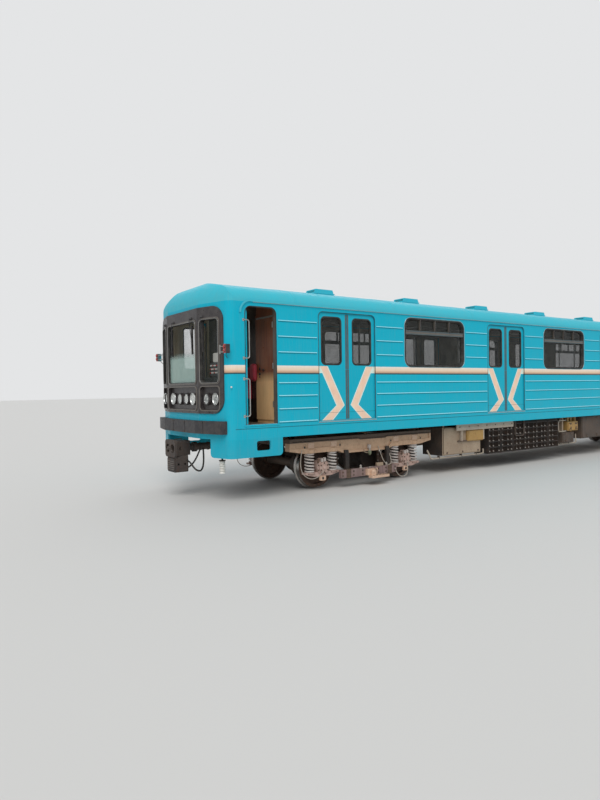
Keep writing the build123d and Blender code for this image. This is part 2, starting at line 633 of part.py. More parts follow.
def cab_leaf():
    """The far cab door, shut, with its hinge knuckles on the inner edge."""
    out_y = BODY_W / 2 - CAB_LEAF_IN
    low_z = SILL_Z + CAB_LEAF_GAP
    high_z = DOORWAY_TOP_Z - CAB_LEAF_GAP
    leaf = arched_prism(CAB_DOOR_X, low_z, high_z, CAB_LEAF_W, CAB_DOORWAY_R - CAB_LEAF_GAP, out_y - CAB_LEAF_T, out_y)
    first_z = low_z + KNUCKLE_L / 2
    last_z = high_z - CAB_DOORWAY_R - 1.5 * KNUCKLE_L
    for n in range(KNUCKLES):
        z = first_z + n * (last_z - first_z) / (KNUCKLES - 1)
        leaf += rod_z(CAB_HINGE_X, CAB_HINGE_Y, z, z + KNUCKLE_L, KNUCKLE_R)
    leaf -= side_prism(CAB_DOOR_X, CAB_WINDOW_LOW_Z, high_z - 110, CAB_WINDOW_W, 60, out_y - 2 * CAB_LEAF_T, out_y + 20)
    return leaf


far_cab_door = cab_leaf()
save("cab_door_far", far_cab_door)
near_shut = far_cab_door.mirror(Plane.XZ)
near_hinge = Pos(CAB_HINGE_X, -CAB_HINGE_Y, 0)
near_open = near_hinge * Rot(0, 0, CAB_OPEN_ANGLE) * near_hinge.inverse() * near_shut
save("cab_door_near", near_open)

# Floor, sills, cross beams, body bolsters and coupler pockets
SILL_W = 130
CROSS_W = 90
CROSS_LOW_Z = SKIRT_Z + 30
CROSS_PITCH = DOOR_PITCH / 4
BODY_BOLSTER_W = 420
BODY_BOLSTER_Y = 1100
BOLSTER_PAD_Z = BOLSTER_TOP_Z + PIVOT_GAP
in_half = BODY_W / 2 - WALL_T

floor = nose_solid(WALL_T, FRONT_T, END_T, FLOOR_Z - FLOOR_T, FLOOR_Z)
for side in (-1, 1):
    floor += block(CAB_SPLIT_X, SIDE_X1, side * (in_half - SILL_W), side * in_half, CROSS_LOW_Z, FLOOR_Z - FLOOR_T)
CROSS_COUNT = 15
for n in range(CROSS_COUNT):
    x = MID_X + (n - (CROSS_COUNT - 1) / 2) * CROSS_PITCH
    floor += block(x - CROSS_W / 2, x + CROSS_W / 2, -in_half, in_half, CROSS_LOW_Z, FLOOR_Z - FLOOR_T)
for x in BOGIE_XS:
    floor += block(x - BODY_BOLSTER_W / 2, x + BODY_BOLSTER_W / 2, -BODY_BOLSTER_Y, BODY_BOLSTER_Y,
                   SKIRT_Z, FLOOR_Z - FLOOR_T)
    floor += rod_z(x, 0, BOLSTER_PAD_Z, FLOOR_Z - FLOOR_T, PIVOT_R)
# centre sills that carry the coupler pivots: front then rear
COUPLER_PIVOT_XS = [MID_X - FRONT_REACH + COUPLER_PIVOT_BACK, MID_X + REAR_REACH - COUPLER_PIVOT_BACK]
EYE_TOP_Z = COUPLER_Z + COUPLER_EYE_H / 2
EYE_LOW_Z = COUPLER_Z - COUPLER_EYE_H / 2
YOKE_T = 30
YOKE_W = 240
for x, out in zip(COUPLER_PIVOT_XS, (-1, 1)):
    back_x = x - out * 300
    floor += block(back_x, x - out * 130, -YOKE_W / 2, YOKE_W / 2, EYE_LOW_Z - COUPLER_GAP - YOKE_T, FLOOR_Z - FLOOR_T)
    for z0 in (EYE_TOP_Z + COUPLER_GAP, EYE_LOW_Z - COUPLER_GAP - YOKE_T):
        floor += block(back_x, x + out * 90, -YOKE_W / 2, YOKE_W / 2, z0, z0 + YOKE_T)
    floor += rod_z(x, 0, EYE_LOW_Z - COUPLER_GAP - YOKE_T, EYE_TOP_Z + COUPLER_GAP + YOKE_T, COUPLER_PIN_R)
save("floor_frame", floor)


# Couplers
def coupler(pivot_x, face_x):
    """Shank with an eye at its pivot, a flared head with a funnel and a guide cone, and a contact box below."""
    out = 1 if face_x > pivot_x else -1
    head_x = face_x - out * COUPLER_HEAD_L
    plate_x = face_x - out * COUPLER_PLATE_T
    half_w = COUPLER_HEAD_W / 2
    half_h = COUPLER_HEAD_H / 2
    shape = rod_z(pivot_x, 0, EYE_LOW_Z, EYE_TOP_Z, COUPLER_EYE_R)
    shape += rod_x(pivot_x + out * 60, head_x + out * 60, 0, COUPLER_Z, COUPLER_SHANK_R)
    shape += rod_x(head_x - out * 160, head_x - out * 90, 0, COUPLER_Z, COUPLER_SHANK_R + 26)
    flare = make_face(Polyline(
        (head_x, -half_w * 0.5), (plate_x, -half_w + 20), (plate_x, half_w - 20), (head_x, half_w * 0.5), close=True,
    ))
    shape += Pos(0, 0, COUPLER_Z) * extrude(flare, half_h - 25, both=True)
    shape += end_prism(0, COUPLER_Z - half_h, COUPLER_Z + half_h, COUPLER_HEAD_W, 55, plate_x, face_x)
    for side in (-1, 1):
        y = side * COUPLER_HEAD_W * 0.24
        pit_x = face_x - out * (FUNNEL_DEPTH if side < 0 else CONE_H)
        shape -= rod_x(pit_x, face_x + out * 5, y, COUPLER_Z, FUNNEL_R)
        if side > 0:
            cone = Cone(FUNNEL_R - 14, FUNNEL_R * 0.4, CONE_H)
            shape += Pos(face_x - out * CONE_H / 2, y, COUPLER_Z) * Rot(0, out * 90, 0) * cone
    box_low = COUPLER_Z - half_h - CONTACT_BOX_H
    shape += end_prism(0, box_low, COUPLER_Z - half_h + 30, CONTACT_BOX_W, 28, face_x - out * 260, face_x - out * 24)
    shape += end_prism(0, box_low + 20, COUPLER_Z - half_h - 20, CONTACT_BOX_W - 40, 20, face_x - out * 40, face_x - out * 10)
    shape -= rod_z(pivot_x, 0, EYE_LOW_Z - 1, EYE_TOP_Z + 1, COUPLER_PIN_R + JOURNAL_GAP)
    return shape


save("coupler_front", coupler(COUPLER_PIVOT_XS[0], MID_X - FRONT_REACH))
save("coupler_rear", coupler(COUPLER_PIVOT_XS[1], MID_X + REAR_REACH))


# Wheelsets
def wheel():
    """A rolled wheel at +Y on an axle along Y through the origin."""
    mid_y = (RIM_IN_Y + RIM_OUT_Y) / 2
    web_y = mid_y - 6
    rim_r = TREAD_R - RIM_T
    outline = Polyline(
        (mid_y - HUB_W / 2, WHEEL_SEAT_R), (mid_y + HUB_W / 2, WHEEL_SEAT_R), (mid_y + HUB_W / 2, HUB_R),
        (web_y + WEB_T / 2 + 8, HUB_R + 14), (web_y + WEB_T / 2, rim_r), (RIM_OUT_Y, rim_r),
        (RIM_OUT_Y, TREAD_R - 3), (RIM_IN_Y + 38, TREAD_R + 1), (RIM_IN_Y + 22, TREAD_R + FLANGE_H),
        (RIM_IN_Y + 6, TREAD_R + FLANGE_H - 4), (RIM_IN_Y, TREAD_R), (RIM_IN_Y, rim_r),
        (web_y - WEB_T / 2, rim_r), (web_y - WEB_T / 2 - 8, HUB_R + 14), (mid_y - HUB_W / 2, HUB_R), close=True,
    )
    face = Plane(origin=(0, 0, 0), x_dir=(0, 1, 0), z_dir=(1, 0, 0)) * make_face(outline)
    return revolve(face, Axis.Y, 360)


def axle():
    half = [
        (0, AXLE_R), (RIM_IN_Y - 60, AXLE_R), (RIM_IN_Y - 24, WHEEL_SEAT_R), (RIM_OUT_Y + 30, WHEEL_SEAT_R),
        (BOX_IN_Y - 10, JOURNAL_R), (JOURNAL_END_Y, JOURNAL_R),
    ]
    outline = [(JOURNAL_END_Y, 0)] + half[::-1] + [(-y, r) for y, r in half[1:]] + [(-JOURNAL_END_Y, 0)]
    face = Plane(origin=(0, 0, 0), x_dir=(0, 1, 0), z_dir=(1, 0, 0)) * make_face(Polyline(*outline, close=True))
    return revolve(face, Axis.Y, 360)


wheel_far = wheel()
axle_shape = axle()
AXLE_XS = [x + half for x in BOGIE_XS for half in (-WHEELBASE / 2, WHEELBASE / 2)]
for n, x in enumerate(AXLE_XS):
    place = Pos(x, 0, AXLE_Z)
    save(f"wheels_{n + 1}", [place * wheel_far, place * wheel_far.mirror(Plane.XZ)])
    save(f"axle_{n + 1}", place * axle_shape)


# Bogies
SPRING_XS = [x + offset for x in (-WHEELBASE / 2, WHEELBASE / 2) for offset in (-SPRING_OFFSET, SPRING_OFFSET)]


def bogie_frame():
    """Two side beams with spring caps, two transoms, a bolster with its bearing plate and two end members."""
    spring_in = WHEELBASE / 2 - SPRING_OFFSET - SPRING_R - 15
    spring_out = WHEELBASE / 2 + SPRING_OFFSET + SPRING_R + 60
    beam = make_face(Polyline(
        (-BEAM_HALF_L, BEAM_TOP_Z), (BEAM_HALF_L, BEAM_TOP_Z), (BEAM_HALF_L, BEAM_TOP_Z - BEAM_END_H),
        (spring_out, SPRING_TOP_Z), (spring_in, SPRING_TOP_Z), (spring_in - 130, BEAM_LOW_Z),
        (130 - spring_in, BEAM_LOW_Z), (-spring_in, SPRING_TOP_Z), (-spring_out, SPRING_TOP_Z),
        (-BEAM_HALF_L, BEAM_TOP_Z - BEAM_END_H), close=True,
    ))
    solid = Pos(0, BEAM_Y, 0) * extrude(Plane.XZ * beam, BEAM_T / 2, both=True)
    web = make_face(Polyline(
        (FLANGE_W - BEAM_HALF_L, BEAM_TOP_Z - FLANGE_W), (BEAM_HALF_L - FLANGE_W, BEAM_TOP_Z - FLANGE_W),
        (BEAM_HALF_L - FLANGE_W, BEAM_TOP_Z - BEAM_END_H + FLANGE_W), (spring_out, SPRING_TOP_Z + CAP_H + 22),
        (spring_in, SPRING_TOP_Z + CAP_H + 22), (spring_in - 130, BEAM_LOW_Z + FLANGE_W),
        (130 - spring_in, BEAM_LOW_Z + FLANGE_W), (-spring_in, SPRING_TOP_Z + CAP_H + 22),
        (-spring_out, SPRING_TOP_Z + CAP_H + 22), (FLANGE_W - BEAM_HALF_L, BEAM_TOP_Z - BEAM_END_H + FLANGE_W),
        close=True,
    ))
    solid -= Pos(0, BEAM_Y + BEAM_T / 2, 0) * extrude(Plane.XZ * web, POCKET_DEPTH, both=True)
    for x in SPRING_XS:
        solid += rod_z(x, BEAM_Y, SPRING_TOP_Z, SPRING_TOP_Z + CAP_H, CAP_R)
    frame = solid + solid.mirror(Plane.XZ)
    inner_y = BEAM_Y - BEAM_T / 2 + 10
    for x in (-TRANSOM_X, TRANSOM_X):
        frame += block(x - TRANSOM_W / 2, x + TRANSOM_W / 2, -inner_y, inner_y, TRANSOM_LOW_Z, TRANSOM_TOP_Z)
    for x in (-BEAM_HALF_L + 70, BEAM_HALF_L - 70):
        frame += block(x - 60, x + 60, -inner_y, inner_y, BEAM_TOP_Z - 130, BEAM_TOP_Z - 20)
    frame += block(-TRANSOM_X, TRANSOM_X, -620, 620, TRANSOM_LOW_Z + 60, BOLSTER_TOP_Z - 40)
    frame += rod_z(0, 0, TRANSOM_LOW_Z + 60, BOLSTER_TOP_Z, PIVOT_R + 40)
    return frame


def axle_box(x):
    """Far-side box on one journal, with a wing each side that carries a spring."""
    shape = rod_y(x, BOX_IN_Y, BOX_OUT_Y - 24, AXLE_Z, BOX_R)
    shape += rod_y(x, BOX_OUT_Y - 24, BOX_OUT_Y, AXLE_Z, BOX_R - 28)
    wing_z = SPRING_SEAT_Z - BOX_WING_T
    wing = make_face(Polyline(
        (-BOX_WING, SPRING_SEAT_Z), (BOX_WING, SPRING_SEAT_Z), (BOX_WING, wing_z), (BOX_WING * 0.5, wing_z - BOX_WEB_DROP),
        (-BOX_WING * 0.5, wing_z - BOX_WEB_DROP), (-BOX_WING, wing_z), close=True,
    ))
    shape += Pos(x, BEAM_Y, 0) * extrude(Plane.XZ * wing, 62, both=True)
    for offset in (-SPRING_OFFSET, SPRING_OFFSET):
        shape += rod_z(x + offset, BEAM_Y, SPRING_SEAT_Z - SEAT_T, SPRING_SEAT_Z, SEAT_R)
    shape -= rod_y(x, BOX_IN_Y - 1, JOURNAL_END_Y + LEAF_CLEAR, AXLE_Z, JOURNAL_R + JOURNAL_GAP)
    return shape


def coil_spring(x):
    """Far-side spring as a closed stack of its coils, standing on a box wing."""
    height = SPRING_TOP_Z - SPRING_SEAT_Z
    step = height / SPRING_COILS
    core_r = SPRING_R - 2 * SPRING_WIRE_R
    points = [(0, SPRING_SEAT_Z), (SPRING_R, SPRING_SEAT_Z)]
    for n in range(SPRING_COILS):
        z = SPRING_SEAT_Z + n * step
        points += [(SPRING_R, z + step * 0.45), (core_r, z + step * 0.72)]
        if n < SPRING_COILS - 1:
            points.append((SPRING_R, z + step))
    points += [(SPRING_R, SPRING_TOP_Z), (0, SPRING_TOP_Z)]
    face = Plane.XZ * make_face(Polyline(*points, close=True))
    return Pos(x, BEAM_Y, 0) * revolve(face, Axis.Z, 360)


def motor(out):
    """Traction motor hung between a transom and an axle, with its gear case round the axle."""
    motor_y = -out * 60
    shape = rod_y(out * MOTOR_X, motor_y - MOTOR_LEN / 2, motor_y + MOTOR_LEN / 2, AXLE_Z + 10, MOTOR_R)
    case_y = motor_y + out * (MOTOR_LEN / 2 + GEAR_CASE_T / 2)
    axle_x = out * WHEELBASE / 2
    shape += rod_y(out * MOTOR_X, case_y - GEAR_CASE_T / 2 - 2, case_y + GEAR_CASE_T / 2, AXLE_Z + 10, MOTOR_R - 70)
    shape += block(out * MOTOR_X, axle_x, case_y - GEAR_CASE_T / 2, case_y + GEAR_CASE_T / 2,
                   AXLE_Z - 160, AXLE_Z + 170)
    shape += rod_y(axle_x, case_y - GEAR_CASE_T / 2, case_y + GEAR_CASE_T / 2, AXLE_Z, GEAR_CASE_R)
    shape -= rod_y(axle_x, case_y - GEAR_CASE_T, case_y + GEAR_CASE_T, AXLE_Z, AXLE_R + LEAF_CLEAR)
    shape += block(out * (TRANSOM_X - 40), out * (TRANSOM_X + 120), motor_y - 200, motor_y + 200, AXLE_Z + 60, TRANSOM_LOW_Z)
    return shape


def shoe_gear():
    """Far-side collector beam with two hangers on the frame and the shoe reaching out."""
    low = SHOE_BEAM_LOW_Z
    shape = block(-SHOE_BEAM_HALF_L, SHOE_BEAM_HALF_L, SHOE_BEAM_Y - SHOE_BEAM_T / 2, SHOE_BEAM_Y + SHOE_BEAM_T / 2,
                  low, low + SHOE_BEAM_H)
    beam_face = BEAM_Y + BEAM_T / 2
    hanger = make_face(Polyline(
        (beam_face, BEAM_LOW_Z + 60), (beam_face + 30, BEAM_LOW_Z + 60), (SHOE_BEAM_Y, BEAM_LOW_Z - 20),
        (SHOE_BEAM_Y, low + 30), (SHOE_BEAM_Y - SHOE_BEAM_T / 2 - 20, low + 30),
        (SHOE_BEAM_Y - SHOE_BEAM_T / 2 - 20, BEAM_LOW_Z - 40), (beam_face, BEAM_LOW_Z - 10), close=True,
    ))
    for x in SHOE_HANGER_XS:
        shape += Pos(x - 45, 0, 0) * extrude(Plane.YZ * hanger, 90)
    shape += block(-110, 150, SHOE_BEAM_Y, SHOE_BEAM_Y + 95, low + 10, low + SHOE_BEAM_H - 20)
    shoe_y = (SHOE_BEAM_Y + 60 + SHOE_REACH_Y) / 2
    shoe = Pos(SHOE_PAD_X, shoe_y, low - 40) * extrude(RectangleRounded(SHOE_PAD_L, SHOE_REACH_Y - SHOE_BEAM_Y - 60, 24), 46)
    shape += shoe + block(-40, 80, SHOE_BEAM_Y + 70, SHOE_BEAM_Y + 130, low, low + 90)
    return shape


def brake(out):
    """Far-side block brake on the wheel at one end: shoe, holder, lever and the cylinder on the transom."""
    inner_r = TREAD_R + SHOE_GAP
    ring = rod_y(0, BRAKE_Y - BRAKE_W / 2, BRAKE_Y + BRAKE_W / 2, 0, inner_r + BRAKE_T)
    ring -= rod_y(0, BRAKE_Y - BRAKE_W, BRAKE_Y + BRAKE_W, 0, inner_r)
    half_h = inner_r * sin(radians(BRAKE_ARC))
    shape = ring & block(-2 * inner_r, 0, 0, BODY_W, -half_h, half_h)
    back_x = -inner_r - BRAKE_T
    shape += block(back_x - 40, back_x + 20, BRAKE_Y - 22, BRAKE_Y + 22, -60, 60)
    cylinder_x = TRANSOM_X + TRANSOM_W / 2 - WHEELBASE / 2
    shape += rod_x(cylinder_x, cylinder_x + CYLINDER_L, BRAKE_Y, CYLINDER_Z - AXLE_Z, CYLINDER_R)
    lever_x = cylinder_x + CYLINDER_L - 30
    shape += block(lever_x, lever_x + 44, BRAKE_Y - 16, BRAKE_Y + 16, -40, CYLINDER_Z - AXLE_Z + 40)
    shape += block(lever_x, back_x + 1, BRAKE_Y - 16, BRAKE_Y + 16, -40, 40)
    shape = Pos(WHEELBASE / 2, 0, AXLE_Z) * shape
    return shape if out > 0 else shape.mirror(Plane.YZ)


frame_shape = bogie_frame()
box_set = []
spring_set = []
for x in (-WHEELBASE / 2, WHEELBASE / 2):
    box_set += both_sides(axle_box(x))
for x in SPRING_XS:
    spring_set += both_sides(coil_spring(x))
motor_set = [motor(-1), motor(1)]
shoe_set = both_sides(shoe_gear())
brake_set = both_sides(brake(-1)) + both_sides(brake(1))
for end_name, x in zip(("front", "rear"), BOGIE_XS):
    place = Pos(x, 0, 0)
    save(f"bogie_{end_name}_frame", place * frame_shape)
    save(f"bogie_{end_name}_axle_boxes", [place * item for item in box_set])
    save(f"bogie_{end_name}_springs", [place * item for item in spring_set])
    save(f"bogie_{end_name}_motors", [place * item for item in motor_set])
    save(f"bogie_{end_name}_shoe_gear", [place * item for item in shoe_set])
    save(f"bogie_{end_name}_brakes", [place * item for item in brake_set])

# Gear under the floor, hung from the sills and cross beams between the bogies
UNDER_GAP = 140
UNDER_SPAN = BOGIE_PITCH - 2 * (BEAM_HALF_L + UNDER_GAP)
HANGER_T = 30

# Resistor bank: modules with rows of grids between horizontal rails
BANK_START = -0.323
BANK_LENGTH = 0.311
BANK_MODULES = 6
BANK_GAP = 22
BANK_OUT_IN = 120
BANK_DEPTH = 670
BANK_LOW_Z = RAIL_Z + 310
BANK_HIGH_Z = RAIL_Z + 960
BANK_ROWS = 5
BANK_RAIL_H = 26
BANK_POST_W = 22
BANK_GRID_DEPTH = 46

bank_x0 = MID_X + BANK_START * UNDER_SPAN
bank_x1 = bank_x0 + BANK_LENGTH * UNDER_SPAN
bank_out_y = -(BODY_W / 2 - BANK_OUT_IN)
bank_in_y = bank_out_y + BANK_DEPTH
module_l = (bank_x1 - bank_x0 + BANK_GAP) / BANK_MODULES - BANK_GAP
row_pitch = (BANK_HIGH_Z - BANK_LOW_Z - BANK_RAIL_H) / BANK_ROWS

bank = None
for n in range(BANK_MODULES):
    x0 = bank_x0 + n * (module_l + BANK_GAP)
    module = block(x0, x0 + module_l, bank_out_y, bank_in_y, BANK_LOW_Z, BANK_HIGH_Z)
    for row in range(BANK_ROWS):
        z0 = BANK_LOW_Z + row * row_pitch + BANK_RAIL_H
        for y in (bank_out_y, bank_in_y):
            module -= block(x0 + BANK_POST_W, x0 + module_l - BANK_POST_W, y - BANK_GRID_DEPTH, y + BANK_GRID_DEPTH,
                            z0, z0 + row_pitch - BANK_RAIL_H)
    bank = module if bank is None else bank + module
for y in (bank_out_y + 60, bank_in_y - 60):
    bank += block(bank_x0, bank_x1, y - HANGER_T, y + HANGER_T, BANK_HIGH_Z - 5, BANK_HIGH_Z + 25)
    for x in (bank_x0 + 60, (bank_x0 + bank_x1) / 2, bank_x1 - 60):
        bank += block(x - 25, x + 25, y - HANGER_T, y + HANGER_T, BANK_HIGH_Z, CROSS_LOW_Z)
save("resistor_bank", bank)

# Side of the car, start and end as shares of the span between the bogies, outer face in from the body side,
# depth, bottom and top over the rail
UNDERFLOOR_BOXES = [
    (-1, -0.485, -0.344, 200, 560, 365, 958),
    (-1, 0.012, 0.071, 140, 520, 362, 635),
    (-1, 0.036, 0.089, 120, 480, 660, 897),
    (-1, 0.110, 0.275, 130, 660, 430, 1010),
    (-1, 0.310, 0.455, 130, 660, 430, 1010),
    (1, -0.490, -0.300, 130, 660, 400, 1010),
    (1, -0.260, -0.050, 120, 670, 380, 1010),
    (1, -0.010, 0.125, 150, 640, 420, 960),
    (1, 0.160, 0.262, 150, 640, 460, 990),
    (1, 0.297, 0.468, 130, 660, 400, 1010),
]
LID_T = 14
LID_EDGE = 26


def underfloor_box(side, start, end, inset, depth, low, high):
    """A box with a raised lid on its outer face, hung by straps from the sill."""
    x0 = MID_X + start * UNDER_SPAN
    x1 = MID_X + end * UNDER_SPAN
    out_y = BODY_W / 2 - inset
    box = block(x0, x1, out_y - depth, out_y, RAIL_Z + low, RAIL_Z + high)
    box = fillet(box.edges().filter_by(Axis.X).group_by(Axis.Y)[-1], 22)
    box += side_prism((x0 + x1) / 2, RAIL_Z + low + LID_EDGE, RAIL_Z + high - LID_EDGE, x1 - x0 - 2 * LID_EDGE, 24,
                      out_y - 2, out_y + LID_T)
    for x in (x0 + 70, x1 - 70):
        box += block(x - 22, x + 22, out_y - depth / 2, out_y - 30, RAIL_Z + high - 2, CROSS_LOW_Z)
    return box if side > 0 else box.mirror(Plane.XZ)


gear = [underfloor_box(*row) for row in UNDERFLOOR_BOXES]

# Air reservoirs along the middle: start and end as shares of the span
RESERVOIRS = [(-0.411, -0.240), (-0.171, 0.0), (0.080, 0.251)]
RESERVOIR_R = 190
RESERVOIR_END_R = 70
STRAP_T = 8
for start, end in RESERVOIRS:
    x0 = MID_X + start * UNDER_SPAN
    x1 = MID_X + end * UNDER_SPAN
    z = CROSS_LOW_Z - RESERVOIR_R - 40
    tank = rod_x(x0, x1, 0, z, RESERVOIR_R)
    tank = fillet(tank.edges(), RESERVOIR_END_R)
    for x in (x0 + 250, x1 - 250):
        tank += rod_x(x - 25, x + 25, 0, z, RESERVOIR_R + STRAP_T)
        for y in (-RESERVOIR_R + 10, RESERVOIR_R - 10):
            tank += block(x - 25, x + 25, y - 18, y + 18, z, CROSS_LOW_Z)
    gear.append(tank)
save("underfloor_gear", gear)

# Cab: back wall with a cupboard, desk and seats
PARTITION_T = 50
cab_wall = inner & block(PARTITION_X, PARTITION_X + PARTITION_T, -BODY_W, BODY_W, FLOOR_Z, ROOF_Z)
cab_wall += block(PARTITION_X - 18, PARTITION_X + 1, -in_half + 20, -480, FLOOR_Z + 60, FLOOR_Z + 1880)
cab_wall += block(PARTITION_X - 18, PARTITION_X + 1, -330, 330, FLOOR_Z + 30, FLOOR_Z + 1900)
save("cab_partition", cab_wall)

desk_outline = make_face(Polyline(
    (FACE_X + 110, FLOOR_Z), (FACE_X + 300, FLOOR_Z), (FACE_X + 300, FLOOR_Z + 560),
    (FACE_X + 430, FLOOR_Z + 640), (FACE_X + 410, FLOOR_Z + 700), (FACE_X + 110, FLOOR_Z + 760), close=True,
))
desk = Pos(0, 40, 0) * extrude(Plane.XZ * desk_outline, 590, both=True)
save("cab_desk", desk)

SEAT_X = FACE_X + 760
SEAT_Y = 420
cab_seats = rod_z(SEAT_X, SEAT_Y, FLOOR_Z, FLOOR_Z + 420, 55)
cab_seats += block(SEAT_X - 220, SEAT_X + 200, SEAT_Y - 230, SEAT_Y + 230, FLOOR_Z + 420, FLOOR_Z + 520)
cab_seats += block(SEAT_X + 130, SEAT_X + 220, SEAT_Y - 220, SEAT_Y + 220, FLOOR_Z + 500, FLOOR_Z + 1020)
fold_seat = block(PARTITION_X - 110, PARTITION_X - 18, -460, -150, FLOOR_Z + 420, FLOOR_Z + 980)
save("cab_seats", [cab_seats, fold_seat])

# Saloon: benches along the walls and grab poles
BENCH_DEPTH = 460
BENCH_SEAT_H = 450
BENCH_BACK_H = 900
BENCH_BACK_T = 90
BENCH_CLEAR = 190
bench_half = DOOR_PITCH / 2 - DOORWAY_W / 2 - BENCH_CLEAR
bench_x = [(x - bench_half, x + bench_half) for x in WINDOW_XS]
bench_x.append((DOOR_XS[-1] + DOORWAY_W / 2 + BENCH_CLEAR, END_SPLIT_X - 10))
bench_outline = make_face(Polyline(
    (in_half, FLOOR_Z + 120), (in_half, FLOOR_Z + BENCH_BACK_H), (in_half - BENCH_BACK_T + 30, FLOOR_Z + BENCH_BACK_H),
    (in_half - BENCH_BACK_T, FLOOR_Z + BENCH_SEAT_H), (in_half - BENCH_DEPTH, FLOOR_Z + BENCH_SEAT_H),
    (in_half - BENCH_DEPTH, FLOOR_Z + BENCH_SEAT_H - 110), (in_half - BENCH_DEPTH + 70, FLOOR_Z), (in_half, FLOOR_Z),
    close=True,
))
benches = []
for x0, x1 in bench_x:
    benches += both_sides(Pos(x0, 0, 0) * extrude(Plane.YZ * bench_outline, x1 - x0))
save("saloon_benches", benches)

POLE_R = 17
POLE_Y = in_half - BENCH_DEPTH - 60
RAIL_TOP_Z = FLOOR_Z + 1850
poles = rod_x(PARTITION_X + PARTITION_T, END_SPLIT_X, POLE_Y, RAIL_TOP_Z, POLE_R)
for x in DOOR_XS:
    for hand in (-1, 1):
        poles += rod_z(x + hand * (DOORWAY_W / 2 + BENCH_CLEAR - 40), POLE_Y, FLOOR_Z, RAIL_TOP_Z, POLE_R)
save("grab_poles", both_sides(poles))

# Grab rails, one above the other over the front edge of each cab doorway, their foot plates on the skin ahead of it
RAIL_R = 10
RAIL_STAND_OFF = 2
RAIL_BAR_IN = 70
RAIL_BEND_R = 36
RAIL_PLATE_L = 36
RAIL_PLATE_H = 44
RAIL_PLATE_T = 5
RAIL_PLATE_AHEAD = 10
# low and high over the rail
CAB_RAILS = [(2335, 2953), (1393, 2000)]
doorway_edge = CAB_DOOR_X - CAB_DOORWAY_W / 2
rail_y = BODY_W / 2 + RAIL_STAND_OFF + RAIL_R
plate_x = doorway_edge - RAIL_PLATE_AHEAD - RAIL_PLATE_L / 2
fittings = []
for low, high in CAB_RAILS:
    bar_x = doorway_edge + RAIL_BAR_IN
    line = FilletPolyline(
        (plate_x, rail_y, RAIL_Z + low), (bar_x, rail_y, RAIL_Z + low), (bar_x, rail_y, RAIL_Z + high),
        (plate_x, rail_y, RAIL_Z + high), radius=RAIL_BEND_R,
    )
    bar = sweep(Plane(origin=line @ 0, z_dir=line % 0) * Circle(RAIL_R), line)
    for z in (RAIL_Z + low, RAIL_Z + high):
        bar += block(plate_x - RAIL_PLATE_L / 2, plate_x + RAIL_PLATE_L / 2, BODY_W / 2, BODY_W / 2 + RAIL_PLATE_T,
                     z - RAIL_PLATE_H / 2, z + RAIL_PLATE_H / 2)
    fittings += both_sides(bar)

# Marker lamps, each carried by two bars from the edge of the mask
MARKER_X = FACE_X + 117
MARKER_L = 80
MARKER_IN_Y = BODY_W / 2 + 10
MARKER_OUT_Y = BODY_W / 2 + 85
MARKER_LOW_Z = RAIL_Z + 2404
MARKER_HIGH_Z = RAIL_Z + 2548
MARKER_BAR_R = 9
MARKER_BAR_IN = 28
bar_start_y = SIDE_SCREEN_OUT_Y + BAY_RIM_W + 6
marker = block(MARKER_X - MARKER_L / 2, MARKER_X + MARKER_L / 2, MARKER_IN_Y, MARKER_OUT_Y, MARKER_LOW_Z, MARKER_HIGH_Z)
marker = fillet(marker.edges().filter_by(Axis.X), 12)
for z in (MARKER_LOW_Z + MARKER_BAR_IN, MARKER_HIGH_Z - MARKER_BAR_IN):
    marker += rod_y(MARKER_X, bar_start_y, MARKER_IN_Y + 5, z, MARKER_BAR_R)
marker_foot_x = MARKER_X + MARKER_BAR_R
marker += block(MARKER_X - MARKER_BAR_R, marker_foot_x, bar_start_y, bar_start_y + 26, MARKER_LOW_Z, MARKER_HIGH_Z)
marker -= nose_solid(-MASK_PROUD, -MASK_PROUD, 0, SKIRT_Z, EAVES_Z)
fittings += both_sides(marker)
save("cab_rails", fittings)
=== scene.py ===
"""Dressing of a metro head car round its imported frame: finishes, glazing trim, running gear and the studio."""

import json
import logging
import math
from dataclasses import dataclass
from enum import Enum
from typing import Callable, Iterable, Sequence

import bpy
from mathutils import Matrix, Vector

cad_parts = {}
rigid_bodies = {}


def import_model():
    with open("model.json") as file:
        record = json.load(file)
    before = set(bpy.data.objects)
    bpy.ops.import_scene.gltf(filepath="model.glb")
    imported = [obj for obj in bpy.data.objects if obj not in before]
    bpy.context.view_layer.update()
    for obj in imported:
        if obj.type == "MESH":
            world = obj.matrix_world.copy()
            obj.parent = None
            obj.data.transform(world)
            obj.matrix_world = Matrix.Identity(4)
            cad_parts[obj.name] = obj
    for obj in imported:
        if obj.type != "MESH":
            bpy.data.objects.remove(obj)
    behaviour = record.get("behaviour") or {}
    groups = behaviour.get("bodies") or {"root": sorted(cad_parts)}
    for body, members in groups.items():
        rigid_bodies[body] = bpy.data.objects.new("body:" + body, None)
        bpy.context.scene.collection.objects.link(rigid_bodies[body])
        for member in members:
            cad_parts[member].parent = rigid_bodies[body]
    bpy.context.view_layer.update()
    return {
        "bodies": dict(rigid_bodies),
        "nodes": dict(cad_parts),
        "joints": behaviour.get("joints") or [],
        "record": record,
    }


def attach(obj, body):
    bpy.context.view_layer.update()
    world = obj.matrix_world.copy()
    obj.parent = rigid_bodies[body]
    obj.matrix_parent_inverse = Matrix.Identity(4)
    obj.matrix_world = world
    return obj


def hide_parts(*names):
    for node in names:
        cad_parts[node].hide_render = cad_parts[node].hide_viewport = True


LOG = logging.getLogger("metro_car")

Rgb = tuple[float, float, float]
Point = tuple[float, float, float]
Flat = tuple[float, float]
Material = bpy.types.Material
Socket = bpy.types.NodeSocket

